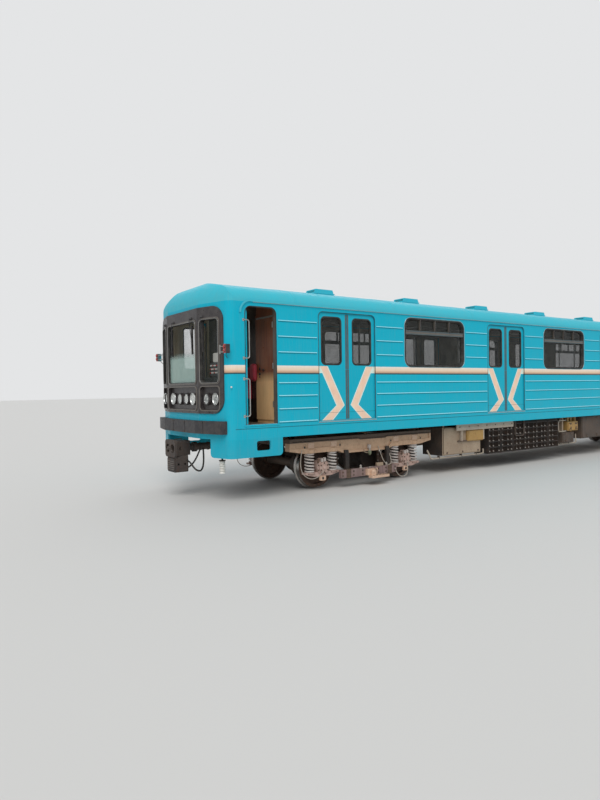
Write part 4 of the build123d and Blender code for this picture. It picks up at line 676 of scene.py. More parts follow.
class Builder:
    """Collects the faces of one piece, each with its finish, and makes the mesh."""

    def __init__(self, name: str) -> None:
        """Starts an empty piece.

        Args:
            name: The piece's name.
        """
        self.name = name
        self.origin: Point = ORIGIN
        self.ways: Point = (1, 1, 1)
        self.verts: list[Point] = []
        self.faces: list[tuple[int, ...]] = []
        self.which: list[int] = []
        self.smooth: list[bool] = []
        self.finishes: list[Material] = []

    def at(self, origin: Point, ways: Point = (1, 1, 1)) -> "Builder":
        """Sets the frame of the next pieces.

        Args:
            origin: The frame's origin on the car.
            ways: Sign of each of its axes along the car's.

        Returns:
            The builder.
        """
        self.origin, self.ways = origin, ways
        return self

    def add(self, verts: Iterable[Sequence[float]], faces: Iterable[Sequence[int]], finish: Material,
            smooth: bool = False) -> None:
        """Adds vertices and the faces between them, with faces turned over in a mirrored frame.

        Args:
            verts: Points in the present frame.
            faces: Faces by index into verts.
            finish: The faces' material.
            smooth: Whether the faces are shaded smooth.
        """
        base = len(self.verts)
        self.verts.extend(tuple(o + way * c for o, way, c in zip(self.origin, self.ways, v)) for v in verts)
        order = -1 if math.prod(self.ways) < 0 else 1
        if finish not in self.finishes:
            self.finishes.append(finish)
        index = self.finishes.index(finish)
        for face in faces:
            self.faces.append(tuple(base + i for i in face)[::order])
            self.which.append(index)
            self.smooth.append(smooth)

    def loft(self, rings: Sequence[Sequence[Sequence[float]]], finish: Material, smooth: bool = False,
             closed: bool = False, caps: bool = True) -> None:
        """Joins rings of equally many points into a skin.

        Args:
            rings: The rings, in order.
            finish: The material.
            smooth: Whether the skin is shaded smooth.
            closed: Whether the last ring joins the first.
            caps: Whether the open ends are closed.
        """
        count = len(rings[0])
        verts = [p for ring in rings for p in ring]
        faces = []
        for i in range(len(rings) - (0 if closed else 1)):
            a, b = i * count, (i + 1) % len(rings) * count
            for j in range(count):
                k = (j + 1) % count
                faces.append((a + j, a + k, b + k, b + j))
        self.add(verts, faces, finish, smooth)
        if caps and not closed:
            self.add(rings[0], [tuple(range(count))[::-1]], finish)
            self.add(rings[-1], [tuple(range(count))], finish)

    def box(self, low: Point, high: Point, finish: Material, chamfer: float = 0.002) -> None:
        """Adds a box with chamfered edges.

        Args:
            low: Lowest corner.
            high: Highest corner.
            finish: The material.
            chamfer: Width of the chamfer.
        """
        lo = [min(a, b) for a, b in zip(low, high)]
        hi = [max(a, b) for a, b in zip(low, high)]
        cut = min(chamfer, *((b - a) * 0.35 for a, b in zip(lo, hi)))
        rings = []
        for z, inset in ((lo[2], cut), (lo[2] + cut, 0.0), (hi[2] - cut, 0.0), (hi[2], cut)):
            x0, x1, y0, y1 = lo[0] + inset, hi[0] - inset, lo[1] + inset, hi[1] - inset
            rings.append([(x0 + cut, y0, z), (x1 - cut, y0, z), (x1, y0 + cut, z), (x1, y1 - cut, z),
                          (x1 - cut, y1, z), (x0 + cut, y1, z), (x0, y1 - cut, z), (x0, y0 + cut, z)])
        self.loft(rings, finish)

    def lathe(self, centre: Point, axis: Axis, profile: Sequence[Flat], finish: Material, steps: int = 24,
              smooth: bool = True, caps: bool = True) -> None:
        """Adds a turned form.

        Args:
            centre: Point on the axis where the profile's second number is 0.
            axis: The turning axis.
            profile: Pairs of radius and place along the axis.
            finish: The material.
            steps: Facets round the axis.
            smooth: Whether it is shaded smooth.
            caps: Whether its ends are closed.
        """
        way = Vector(axis.value)
        first = Vector((0, 0, 1)) if axis is not Axis.Z else Vector((1, 0, 0))
        second = way.cross(first)
        mid = Vector(centre)
        rings = []
        for radius, along in profile:
            rings.append([mid + way * along + (first * math.cos(t) + second * math.sin(t)) * radius
                          for t in (2 * math.pi * i / steps for i in range(steps))])
        self.loft(rings, finish, smooth, caps=caps)

    def tube(self, path: Sequence[Sequence[float]], radius: float, finish: Material, sides: int = 8,
             closed: bool = False) -> None:
        """Adds a tube along a path.

        Args:
            path: The points that it follows.
            radius: Its radius.
            finish: The material.
            sides: Facets round it.
            closed: Whether the path is a loop.
        """
        points = [Vector(p) for p in path]
        count = len(points)
        rings = []
        guide = None
        for i, point in enumerate(points):
            ahead = points[(i + 1) % count] if closed or i < count - 1 else point
            behind = points[i - 1] if closed or i > 0 else point
            way = (ahead - behind).normalized()
            if guide is None:
                guide = Vector((0, 1, 0)) if abs(way.y) < 0.8 else Vector((0, 0, 1))
            guide = (guide - way * guide.dot(way)).normalized()
            other = way.cross(guide)
            rings.append([point + (guide * math.cos(turn) + other * math.sin(turn)) * radius
                          for turn in (2 * math.pi * k / sides for k in range(sides))])
        self.loft(rings, finish, True, closed=closed)

    def band(self, outer: Sequence[Point], inner: Sequence[Point], rise: Point, finish: Material,
             round_over: float = 0.3) -> None:
        """Adds a raised flat ring between two closed outlines.

        Args:
            outer: The outer outline on its seat.
            inner: The inner outline on its seat.
            rise: Vector from the seat to the ring's face.
            finish: The material.
            round_over: Share of the ring's width that slopes at each edge.
        """
        lift = Vector(rise)
        rings = [[Vector(p) for p in outer]]
        for share in (round_over, 1 - round_over):
            rings.append([Vector(a).lerp(Vector(b), share) + lift for a, b in zip(outer, inner)])
        rings.append([Vector(p) for p in inner])
        self.loft(rings, finish, smooth=True, closed=True)

    def gasket(self, lay: Callable[[Sequence[Flat], float], list[Point]], centre: Flat, size: Flat, corner: float,
               seats: Flat, rise: Point, finish: Material, width: float = 0.028) -> None:
        """Adds the rubber round a pane: a rim on its seat, and a lip down to the glass.

        Args:
            lay: Lays an outline on a plane at a distance.
            centre: Centre of the opening in the rubber.
            size: Size of that opening.
            corner: Its corner radius.
            seats: Distances of the rim's seat and of the glass.
            rise: Vector from the seat to the rim's face.
            finish: The rubber.
            width: Width of the rim.
        """
        inner = lay(rounded(*centre, *size, corner), seats[0])
        outer = lay(rounded(*centre, size[0] + 2 * width, size[1] + 2 * width, corner + width), seats[0])
        self.band(outer, inner, rise, finish)
        back = lay(rounded(*centre, size[0] - 0.005, size[1] - 0.005, corner - 0.002), seats[1])
        self.loft([inner, back], finish, True, caps=False)

    def bolts(self, places: Iterable[Point], axis: Axis, radius: float, height: float,
              finish: Material) -> None:
        """Adds hexagon heads on washers.

        Args:
            places: Centres of the washers' seats.
            axis: The bolts' axis.
            radius: Half the head's width across corners.
            height: Height of the head, negative towards the axis' minus side.
            finish: The material.
        """
        for place in places:
            self.lathe(place, axis, [(radius * 1.35, 0), (radius * 1.35, height * 0.2)], finish, 12, False)
            head = [(radius, height * 0.2), (radius, height * 0.85), (radius * 0.8, height)]
            self.lathe(place, axis, head, finish, 6, False)

    def build(self, body: str, slot: str | None = None, stands_for: Sequence[str] = ()) -> bpy.types.Object:
        """Makes the object and lets it ride on a body.

        Args:
            body: The frame's body that carries it.
            slot: The record's material slot; not used.
            stands_for: Nodes that it replaces.

        Returns:
            The object.
        """
        mesh = bpy.data.meshes.new(self.name)
        mesh.from_pydata([tuple(v) for v in self.verts], [], self.faces)
        for finish in self.finishes:
            mesh.materials.append(finish)
        mesh.polygons.foreach_set("material_index", self.which)
        mesh.polygons.foreach_set("use_smooth", self.smooth)
        mesh.validate()
        mesh.update()
        obj = bpy.data.objects.new(self.name, mesh)
        bpy.context.scene.collection.objects.link(obj)
        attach(obj, body)
        if stands_for:
            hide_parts(*stands_for)
        LOG.info("%s: %d faces on %s", self.name, len(self.faces), body)
        return obj


def arc(cx: float, cz: float, radius: float, start: float, end: float, count: int) -> list[Flat]:
    """Points at equal steps on an arc.

    Args:
        cx: Centre along the first axis.
        cz: Centre along the second axis.
        radius: Its radius.
        start: Angle of the first point, in degrees.
        end: Angle of the last point, in degrees.
        count: Number of points.

    Returns:
        The points.
    """
    turns = (math.radians(start + (end - start) * i / (count - 1)) for i in range(count))
    return [(cx + radius * math.cos(turn), cz + radius * math.sin(turn)) for turn in turns]


def rounded(cx: float, cz: float, width: float, height: float, radius: float, steps: int = 7) -> list[Flat]:
    """Points of a rounded rectangle, anticlockwise.

    Args:
        cx: Centre along the first axis.
        cz: Centre along the second axis.
        width: Size along the first axis.
        height: Size along the second axis.
        radius: Corner radius.
        steps: Points on each corner.

    Returns:
        The outline.
    """
    points = []
    for sx, sz, start in ((1, 1, 0), (-1, 1, 90), (-1, -1, 180), (1, -1, 270)):
        mx, mz = cx + sx * (width / 2 - radius), cz + sz * (height / 2 - radius)
        points += arc(mx, mz, radius, start, start + 90, steps)
    return points


def arch(x: float, half: float, radius: float, steps: int) -> list[Flat]:
    """Outline of a doorway's jambs and rounded head.

    Args:
        x: Its middle.
        half: Half its width.
        radius: Radius of its upper corners.
        steps: Points on each corner.

    Returns:
        Points of x and z, from one foot to the other.
    """
    low, high = x - half + radius, x + half - radius
    corners = arc(low, DOOR_TOP - radius, radius, 180, 90, steps) + arc(high, DOOR_TOP - radius, radius, 90, 0, steps)
    return [(x - half, SILL_Z), *corners, (x + half, SILL_Z)]


def on_side(points: Sequence[Flat], y: float) -> list[Point]:
    """Lays an outline on a plane along the car."""
    return [(a, y, b) for a, b in points]


def on_end(points: Sequence[Flat], x: float) -> list[Point]:
    """Lays an outline on a plane across the car."""
    return [(x, a, b) for a, b in points]


def nose_x(y: float, out: float = 0.0) -> float:
    """X of the nose's faceted face at a distance from the centre line.

    Args:
        y: Distance from the centre line.
        out: Distance ahead of the face.

    Returns:
        The place along X.
    """
    past = abs(y) - FACET_Y
    ahead = out / math.cos(SWEEP) if past > 0 else out
    return FACE_X - ahead + max(0.0, past) * math.tan(SWEEP)


def on_nose(points: Sequence[Flat], out: float) -> list[Point]:
    """Lays an outline of y and z on the nose's facets, ahead of its face by a distance."""
    return [(nose_x(a, out), a, b) for a, b in points]


Test = Callable[[Vector, Vector], bool]


@dataclass
class CadSkin:
    """Finishes of the frame's own nodes."""

    palette: Palette
    nodes: dict[str, bpy.types.Object]
    vent_corner: float = 0.14
    shoe_board_top: float = 0.3385
    leaf_lining_y: float = 1.2915
    leaf_pane_y: Flat = (1.3035, 1.3105)
    leaf_pane_z: Flat = (2.26, 3.15)
    smooth_within: float = 28.0

    def dress(self) -> None:
        """Gives every node its finish, and parts of some nodes theirs."""
        p = self.palette
        whole = {
            "roof": p.roof, "nose_shell": p.body, "side_wall_near": p.body, "side_wall_far": p.body,
            "nose_mask": p.mask, "nose_strip": p.strip, "headlamps": p.mask, "aprons": p.apron,
            "rear_wall": p.rear_door, "rear_door": p.rear_door, "glazing": p.glass, "floor_frame": p.frame,
            "cab_partition": p.laminate, "cab_desk": p.desk, "cab_seats": p.seat, "saloon_benches": p.bench,
            "grab_poles": p.pole, "cab_rails": p.rail, "resistor_bank": p.resistor, "underfloor_gear": p.gear,
            "cab_door_near": p.rear_door, "cab_door_far": p.rear_door, "coupler_front": p.coupler,
            "coupler_rear": p.coupler,
        }
        running = {"frame": p.bogie, "axle_boxes": p.box_iron, "springs": p.spring, "motors": p.motor,
                   "shoe_gear": p.timber, "brakes": p.brake}
        families = {"door_": p.door, "wheels_": p.wheel, "axle_": p.axle}
        for name, node in self.nodes.items():
            finish = whole.get(name) or next((f for start, f in families.items() if name.startswith(start)), None)
            node.data.materials.clear()
            node.data.materials.append(finish or running[name.split("_", 2)[2]])
            self.shade(node)
        self.shell()
        self.cab()
        self.gear()
        for number in range(1, 5):
            self.line(f"wheels_{number}", p.tread, self.is_tread(number))
            for side in Side:
                for hand in ("front", "rear"):
                    leaf = f"door_{number}_{side.word}_{hand}"
                    self.line(leaf, p.inside, lambda c, n: abs(c.y) < self.leaf_lining_y and abs(n.y) > 0.9)
                    self.line(leaf, p.glass, self.in_leaf_pane)

    def shell(self) -> None:
        """Linings, window reveals and floor of the body."""
        p = self.palette
        for name in ("side_wall_near", "side_wall_far"):
            self.line(name, p.inside, lambda c, n: abs(c.y) < LINING_Y and abs(n.y) > 0.9)
        for name in ("side_wall_near", "side_wall_far", "nose_shell"):
            self.line(name, p.rim, self.in_window)
        self.line("roof", p.ceiling, lambda c, n: n.z < -0.15 and abs(c.y) < 1.29)
        self.line("nose_mask", p.rim, lambda c, n: c.x < nose_x(c.y, MASK_OUT) - 0.0015)
        self.line("nose_shell", p.inside, lambda c, n: abs(c.y) < 1.25 and c.x > nose_x(c.y) + 0.045)
        self.line("rear_wall", p.inside, lambda c, n: n.x < -0.5)
        self.line("floor_frame", p.floor, lambda c, n: n.z > 0.9 and c.z > FLOOR_Z - 0.005)

    def cab(self) -> None:
        """Marker lamps on the rails, linings of the cab doors, and the nose's screens."""
        p = self.palette
        self.line("cab_rails", p.red, lambda c, n: abs(c.y) > 1.362 and c.x < -9.29 and n.x < -0.5)
        self.line("cab_rails", p.strip, lambda c, n: abs(c.y) > 1.361 and c.x < -9.29 and n.x >= -0.5)
        self.line("cab_door_far", p.inside, lambda c, n: n.y < -0.5)
        self.line("cab_door_near", p.inside, lambda c, n: n.x < -0.5)
        self.line("glazing", p.screen, lambda c, n: c.x < FACE_X + 0.3)

    def gear(self) -> None:
        """Dark inner parts of the bogies, their shoes, and the boxes under the floor."""
        p = self.palette
        for end in BOGIE_XS:
            self.line(f"bogie_{end}_frame", p.frame, lambda c, n: abs(c.y) < 0.9245)
            shoes = f"bogie_{end}_shoe_gear"
            self.line(shoes, p.resistor, lambda c, n: c.z > self.shoe_board_top)
            self.line(shoes, p.pad, lambda c, n: c.z < self.shoe_board_top and (abs(c.y) > 1.1655 or c.z < 0.187))
        boxes = "underfloor_gear"
        self.line(boxes, p.ochre, lambda c, n: c.y < -0.7 and 0.3 < c.x - MID < 0.8 and c.z > RAIL + 0.655)
        self.line(boxes, p.dark_gear, lambda c, n: c.y < -0.7 and 0.09 < c.x - MID < 0.64 and c.z < RAIL + 0.64)
        self.line(boxes, p.dark_gear, lambda c, n: abs(c.y) < 0.21 or (c.y < -0.7 and 0.95 < c.x - MID < 2.45))
        self.line(boxes, p.frame, lambda c, n: n.x < -0.9 and c.x < MID - 4.2)

    def shade(self, node: bpy.types.Object) -> None:
        """Smooths a node's shading across shallow angles, with its vertices left alone.

        Args:
            node: The node.
        """
        mesh = node.data
        mesh.polygons.foreach_set("use_smooth", [True] * len(mesh.polygons))
        keys = [tuple(round(c * 2e4) for c in vertex.co) for vertex in mesh.vertices]
        corners: dict[tuple[int, ...], list[int]] = {}
        for polygon in mesh.polygons:
            for corner in polygon.vertices:
                corners.setdefault(keys[corner], []).append(polygon.index)
        facing = [polygon.normal.copy() for polygon in mesh.polygons]
        sizes = [max(polygon.area, 1e-9) for polygon in mesh.polygons]
        limit = math.cos(math.radians(self.smooth_within))
        normals = []
        for polygon in mesh.polygons:
            own = facing[polygon.index]
            for corner in polygon.vertices:
                total = Vector((0, 0, 0))
                for other in corners[keys[corner]]:
                    if facing[other].dot(own) > limit:
                        total += facing[other] * sizes[other]
                normals.append(tuple(total.normalized() if total.length > 0 else own))
        mesh.normals_split_custom_set(normals)

    def line(self, name: str, finish: Material, test: Test) -> None:
        """Gives part of a node's faces another finish.

        Args:
            name: The node.
            finish: The material of the chosen faces.
            test: Tells from a face's centre and normal whether it is chosen.
        """
        mesh = self.nodes[name].data
        mesh.materials.append(finish)
        for polygon in mesh.polygons:
            if test(polygon.center, polygon.normal):
                polygon.material_index = len(mesh.materials) - 1

    def in_window(self, centre: Vector, normal: Vector) -> bool:
        """Finds the vent bars, and the reveals of the windows and the cab doorways.

        Args:
            centre: The face's centre.
            normal: Its normal.

        Returns:
            True on those faces.
        """
        for x, width in WINDOWS:
            across = max(0.0, abs(centre.x - x) - (width / 2 - self.vent_corner))
            up = max(0.0, abs(centre.z - WINDOW_Z) - (WINDOW_HEIGHT / 2 - self.vent_corner))
            if math.hypot(across, up) < self.vent_corner + 0.004:
                return True
        reveal = abs(centre.x - CAB_DOOR_X) < 0.31 and abs(normal.y) < 0.3
        return reveal and 1.24 < abs(centre.y) < 1.3495 and centre.z > 1.27

    def in_leaf_pane(self, centre: Vector, normal: Vector) -> bool:
        """Finds the pane of a sliding leaf."""
        return (self.leaf_pane_y[0] < abs(centre.y) < self.leaf_pane_y[1]
                and self.leaf_pane_z[0] < centre.z < self.leaf_pane_z[1])

    @staticmethod
    def is_tread(number: int) -> Test:
        """Makes the test for the running surface of one wheelset's wheels.

        Args:
            number: The wheelset, from 1 to 4.

        Returns:
            The test.
        """
        x = tuple(BOGIE_XS.values())[(number - 1) // 2] + (-HALF_BASE, HALF_BASE)[(number - 1) % 2]
        return lambda c, n: math.hypot(c.x - x, c.z - AXLE_Z) > 0.385 and abs(c.y) > 0.722


@dataclass
class SideTrim:
    """Rubber, beads, sills and seals of one side wall, in a frame whose Y starts at the wall's skin."""

    palette: Palette
    side: Side
    bar_z: float = 2.935
    vent_top: float = 3.17

    def start(self, name: str) -> Builder:
        """Starts a piece of this side, in the wall's frame."""
        return Builder(f"{name}_{self.side.word}").at((0, self.side.value * HALF_W, 0), (1, self.side.value, 1))

    def windows(self) -> None:
        """Gaskets and beads of the wide windows and the end window, with their vent frames."""
        make, p = self.start("window_trim"), self.palette
        for x, width in WINDOWS:
            seat, inner, bead, front, back = (
                on_side(rounded(x, WINDOW_Z, width + more, WINDOW_HEIGHT + more, corner), out)
                for more, corner, out in ((0.05, 0.165, 0.0), (-0.02, 0.13, -0.004), (0.064, 0.172, 0.001),
                                          (-0.012, 0.134, -0.002), (-0.05, 0.115, -0.043)))
            make.band(seat, inner, (0, 0.007, 0), p.rubber)
            make.tube(bead, 0.004, p.trim, 6, closed=True)
            make.loft([front, back], p.rubber, True, caps=False)
            for z in (self.bar_z - 0.028, self.bar_z + 0.028):
                make.box((x - width / 2, -0.006, z - 0.009), (x + width / 2, -0.001, z + 0.009), p.seal, 0.001)
            vents = 4 if width > 1 else 2
            for n in range(1, vents):
                bar = x + width * (n / vents - 0.5)
                make.box((bar - 0.008, -0.006, self.bar_z + 0.02), (bar + 0.008, -0.001, self.vent_top), p.strip, 0.001)
            for n in range(vents):
                grip = x + width * ((n + 0.5) / vents - 0.5)
                make.box((grip - 0.03, -0.012, self.bar_z + 0.05), (grip + 0.03, 0, self.bar_z + 0.066), p.knob, 0.002)
        make.build("car_body", "strip_plastic")

    def doorways(self) -> None:
        """Sills and jamb rubbers of the four doorways."""
        make, p = self.start("doorway_trim"), self.palette
        for x in DOOR_XS:
            make.box((x - 0.68, 0, SILL_Z - 0.024), (x + 0.68, 0.009, SILL_Z - 0.012), p.trim, 0.002)
            make.box((x - 0.66, -0.112, SILL_Z - 0.004), (x + 0.66, -0.001, SILL_Z + 0.003), p.trim, 0.001)
            make.tube(on_side(arch(x, HALF_DOOR, 0.095, 9), -0.002), 0.006, p.rubber, 6)
        make.build("car_body", "rail_metal")

    def build(self) -> None:
        """Builds the side's trim."""
        self.windows()
        self.doorways()


@dataclass
class DoorLeaf:
    """Gasket and seals of one sliding leaf, in a frame whose X runs from the doorway's middle."""

    palette: Palette
    number: int
    side: Side
    hand: int
    pane: Flat = (0.41, 0.803)
    pane_at: Flat = (0.35625, 2.7015)
    glass_y: float = 1.307

    def build(self) -> None:
        """Builds the rubber on both faces of the pane, and the seal where the leaves meet."""
        word = f"{self.number}_{self.side.word}_{'rear' if self.hand > 0 else 'front'}"
        make = Builder(f"leaf_trim_{word}").at((DOOR_XS[self.number - 1], 0, 0), (self.hand, self.side.value, 1))
        for face, lift, glass in ((1.324, 0.0035, 0.004), (1.29, -0.0035, -0.004)):
            make.gasket(on_side, self.pane_at, self.pane, 0.06, (face, self.glass_y + glass), (0, lift, 0),
                        self.palette.rubber, 0.0325)
        for low, high in ((1.295, 2.2), (2.2, 3.19)):
            make.box((0.003, 1.2905, low), (0.043, 1.3275, high), self.palette.seal, 0.006)
        make.build(f"door_{word}", "door_paint")


def hose(name: str, body: str, points: Sequence[Point], diameter: float, finish: Material) -> None:
    """Args:
        name: The piece's name.
        body: The body that it rides on.
        points: Control points of its smooth line, the first and last where it leaves and meets the object.
        diameter: Its diameter.
        finish: Its material.
    """
    curve = bpy.data.curves.new(name, "CURVE")
    curve.dimensions = "3D"
    spline = curve.splines.new("NURBS")
    spline.points.add(len(points) - 1)
    for point, place in zip(spline.points, points):
        point.co = (*place, 1.0)
    spline.order_u = 3
    spline.use_endpoint_u = True
    spline.resolution_u = 12
    obj = bpy.data.objects.new(name, curve)
    bpy.context.scene.collection.objects.link(obj)
    bpy.context.view_layer.update()
    line = bpy.data.meshes.new_from_object(obj)
    bpy.data.meshes.remove(line)
    curve.bevel_depth = diameter / 2
    curve.bevel_resolution = 3
    curve.use_fill_caps = True
    curve.materials.append(finish)
    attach(obj, body)
    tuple(points[0])


@dataclass
class NoseLamps:
    """Eight round headlamps in their bays, drawn in place of the frame's plain ones."""

    palette: Palette
    height: float = RAIL + 1.68
    behind: float = 0.024
    screw_ring: float = 0.098

    def lamp(self, make: Builder, y: float, bezel: Material) -> None:
        """One lamp: shell, bezel, bowl, bulb and domed lens.

        Args:
            make: The piece.
            y: Place across the car.
            bezel: The ring's material.
        """
        p = self.palette
        make.at((nose_x(y) - self.behind, y, self.height))
        for finish, steps, profile in (
            (p.mask, 32, ((0.103, 0.05), (0.104, 0.012))),
            (bezel, 32, ((0.104, 0.012), (0.104, 0.004), (0.101, 0.0), (0.097, 0.0), (0.093, 0.005), (0.088, 0.018))),
            (p.reflector, 32, ((0.088, 0.018), (0.08, 0.028), (0.06, 0.038), (0.036, 0.044), (0.012, 0.046))),
            (p.cap, 14, ((0.004, 0.022), (0.011, 0.026), (0.013, 0.034), (0.011, 0.046))),
            (p.lens, 32, ((0.002, 0.001), (0.03, 0.003), (0.06, 0.009), (0.088, 0.0195))),
        ):
            make.lathe(ORIGIN, Axis.X, profile, finish, steps, caps=finish is p.cap)
        screws = [(0.001, self.screw_ring * math.cos(t), self.screw_ring * math.sin(t)) for t in (0.8, 2.36, 3.93, 5.5)]
        make.bolts(screws, Axis.X, 0.0045, -0.003, p.bolt)

    def build(self) -> None:
        """Builds all eight."""
        make, p = Builder("headlamp_set"), self.palette
        for sign in (-1, 1):
            for y, bezel in ((0.135, p.strip), (0.41, p.trim), (0.815, p.strip), (1.03, p.trim)):
                self.lamp(make, sign * y, bezel)
        make.build("car_body", "lamp_lens", ("headlamps",))


@dataclass
class Nose:
    """Trim of the cab's front: gaskets, wipers, marker lamps, screws and the pickup coil below."""

    palette: Palette
    screens: tuple[Flat, ...] = ((0.0, 1.15), (-0.9175, 0.445), (0.9175, 0.445))
    screen_z: float = 2.4935
    screen_height: float = 1.049
    bay_z: float = 1.718
    bay_height: float = 0.38
    rim_out: float = 0.0325
    wiper_top: float = 3.062
    half_blade: float = 0.24
    wipers: tuple[Point, ...] = ((-0.41, -0.045, 0.36), (0.33, 0.045, 0.36), (-0.76, -0.02, 0.34), (0.76, 0.02, 0.34))
    coil_at: Point = (-9.25, -1.0, 0.0)

    def openings(self, make: Builder) -> None:
        """Rubber round the screens, and moulded lips in the lamp bays.

        Args:
            make: The piece.
        """
        p = self.palette
        for y, width in self.screens:
            outer, inner, back, bead = (
                on_nose(rounded(y, self.screen_z, width + more, self.screen_height + more, corner), out)
                for more, corner, out in ((0.006, 0.062, self.rim_out), (-0.034, 0.045, 0.029), (-0.044, 0.042, 0.001),
                                          (-0.01, 0.055, 0.0375)))
            make.band(outer, inner, (-0.005, 0, 0), p.rubber)
            make.loft([inner, back], p.rubber, True, caps=False)
            make.tube(bead, 0.0025, p.trim, 5, closed=True)
            outer, inner = (on_nose(rounded(y, self.bay_z, width + more, self.bay_height + more, corner), self.rim_out)
                            for more, corner in ((0.03, 0.062), (-0.004, 0.048)))
            make.band(outer, inner, (-0.003, 0, 0), p.rim)

    def wiper(self, make: Builder, y: float, lean: float, reach: float) -> None:
        """A wiper parked upright below its spindle.

        Args:
            make: The piece.
            y: The spindle's place across the car.
            lean: How far the blade stands to one side.
            reach: Length of the arm.
        """
        p = self.palette
        make.at((0, y, self.wiper_top))
        x, blade = nose_x(y, 0.024), nose_x(y + lean)
        make.lathe((x, 0, 0), Axis.X, [(0.026, 0.004), (0.026, -0.016), (0.019, -0.024), (0.012, -0.04)], p.strip, 16)
        make.tube([(x - 0.032, 0, 0), (x - 0.036, 0, -0.05), (x - 0.026, lean * 0.7, -reach * 0.7),
                   (nose_x(y + lean, 0.046), lean, -reach)], 0.0055, p.strip, 6)
        low, high = -reach - self.half_blade, self.half_blade - reach
        make.tube([(blade - 0.04, lean, high), (blade - 0.046, lean, -reach), (blade - 0.04, lean, low)], 0.006,
                  p.strip, 6)
        make.loft([[(blade - 0.036, lean - 0.005, z), (blade - 0.036, lean + 0.005, z),
                    (blade - 0.01, lean + 0.0015, z), (blade - 0.01, lean - 0.0015, z)] for z in (low, high)], p.rubber)

    def screws(self, make: Builder) -> None:
        """Screws of the mask and the strip, and a plain cap on each side.

        Args:
            make: The piece.
        """
        p = self.palette
        make.at(ORIGIN)
        rows = [((-0.9, -0.66, -0.3, 0.0, 0.3, 0.66, 0.9), (3.185, 1.49)), ((-1.2, 1.2), (1.75, 2.1, 2.45, 2.8))]
        places = [(nose_x(y, MASK_OUT), y, z) for ys, zs in rows for y in ys for z in zs]
        make.bolts(places, Axis.X, 0.0075, -0.004, p.strip)
        places = [(nose_x(y, 0.1005), s * y, z) for s in (-1, 1) for y in (0.21, 0.27, 0.81, 0.87, 1.22)
                  for z in (1.165, 1.325)]
        make.bolts(places, Axis.X, 0.008, -0.004, p.bolt)
        for side in Side:
            make.at(ORIGIN, (1, side.value, 1))
            make.lathe((-9.25, 1.35, RAIL + 1.868), Axis.Y,
                       [(0.015, 0.0), (0.015, 0.008), (0.012, 0.013), (0.003, 0.015)], p.cap, 18)

    def markers(self) -> None:
        """Red lenses and hoods of the marker lamps, and the cables behind them."""
        make, p = Builder("marker_lenses"), self.palette
        for side in Side:
            make.at(ORIGIN, (1, side.value, 1))
            for z in (2.472, 2.536):
                make.lathe((-9.388, 1.3975, z), Axis.X, [(0.027, 0.001), (0.027, -0.008), (0.023, -0.01)], p.strip, 20)
                make.lathe((-9.396, 1.3975, z), Axis.X,
                           [(0.022, 0.0), (0.02, -0.008), (0.012, -0.013), (0.002, -0.015)], p.red, 20)
            make.tube([(-9.335, 1.37, 2.45), (-9.325, 1.33, 2.41), (-9.3, 1.3, 2.38), (-9.275, 1.285, 2.36)], 0.005,
                      p.hose, 6)
        make.build("car_body", "rail_metal")

    def coil(self) -> None:
        """Ribbed pickup coil that hangs behind the near apron on a bracket."""
        make, p = Builder("pickup_coil").at(self.coil_at), self.palette
        profile = [(radius, RAIL + 0.458 + n * 0.041 + rise) for n in range(5)
                   for radius, rise in ((0.048, 0.0), (0.048, 0.026), (0.036, 0.029), (0.036, 0.038))]
        make.lathe(ORIGIN, Axis.Z, profile, p.cap, 24)
        make.lathe(ORIGIN, Axis.Z, [(0.055, 0.69), (0.055, 0.704), (0.016, 0.708), (0.016, 1.2)], p.frame, 16)
        make.box((-0.05, -0.05, 1.15), (0.05, 0.05, 1.2), p.frame)
        make.build("car_body", "axle_box_iron")

    def build(self) -> None:
        """Builds the nose's trim."""
        make = Builder("nose_trim")
        self.openings(make)
        for y, lean, reach in self.wipers:
            self.wiper(make, y, lean, reach)
        self.screws(make)
        make.build("car_body", "strip_plastic")
        self.markers()
        self.coil()


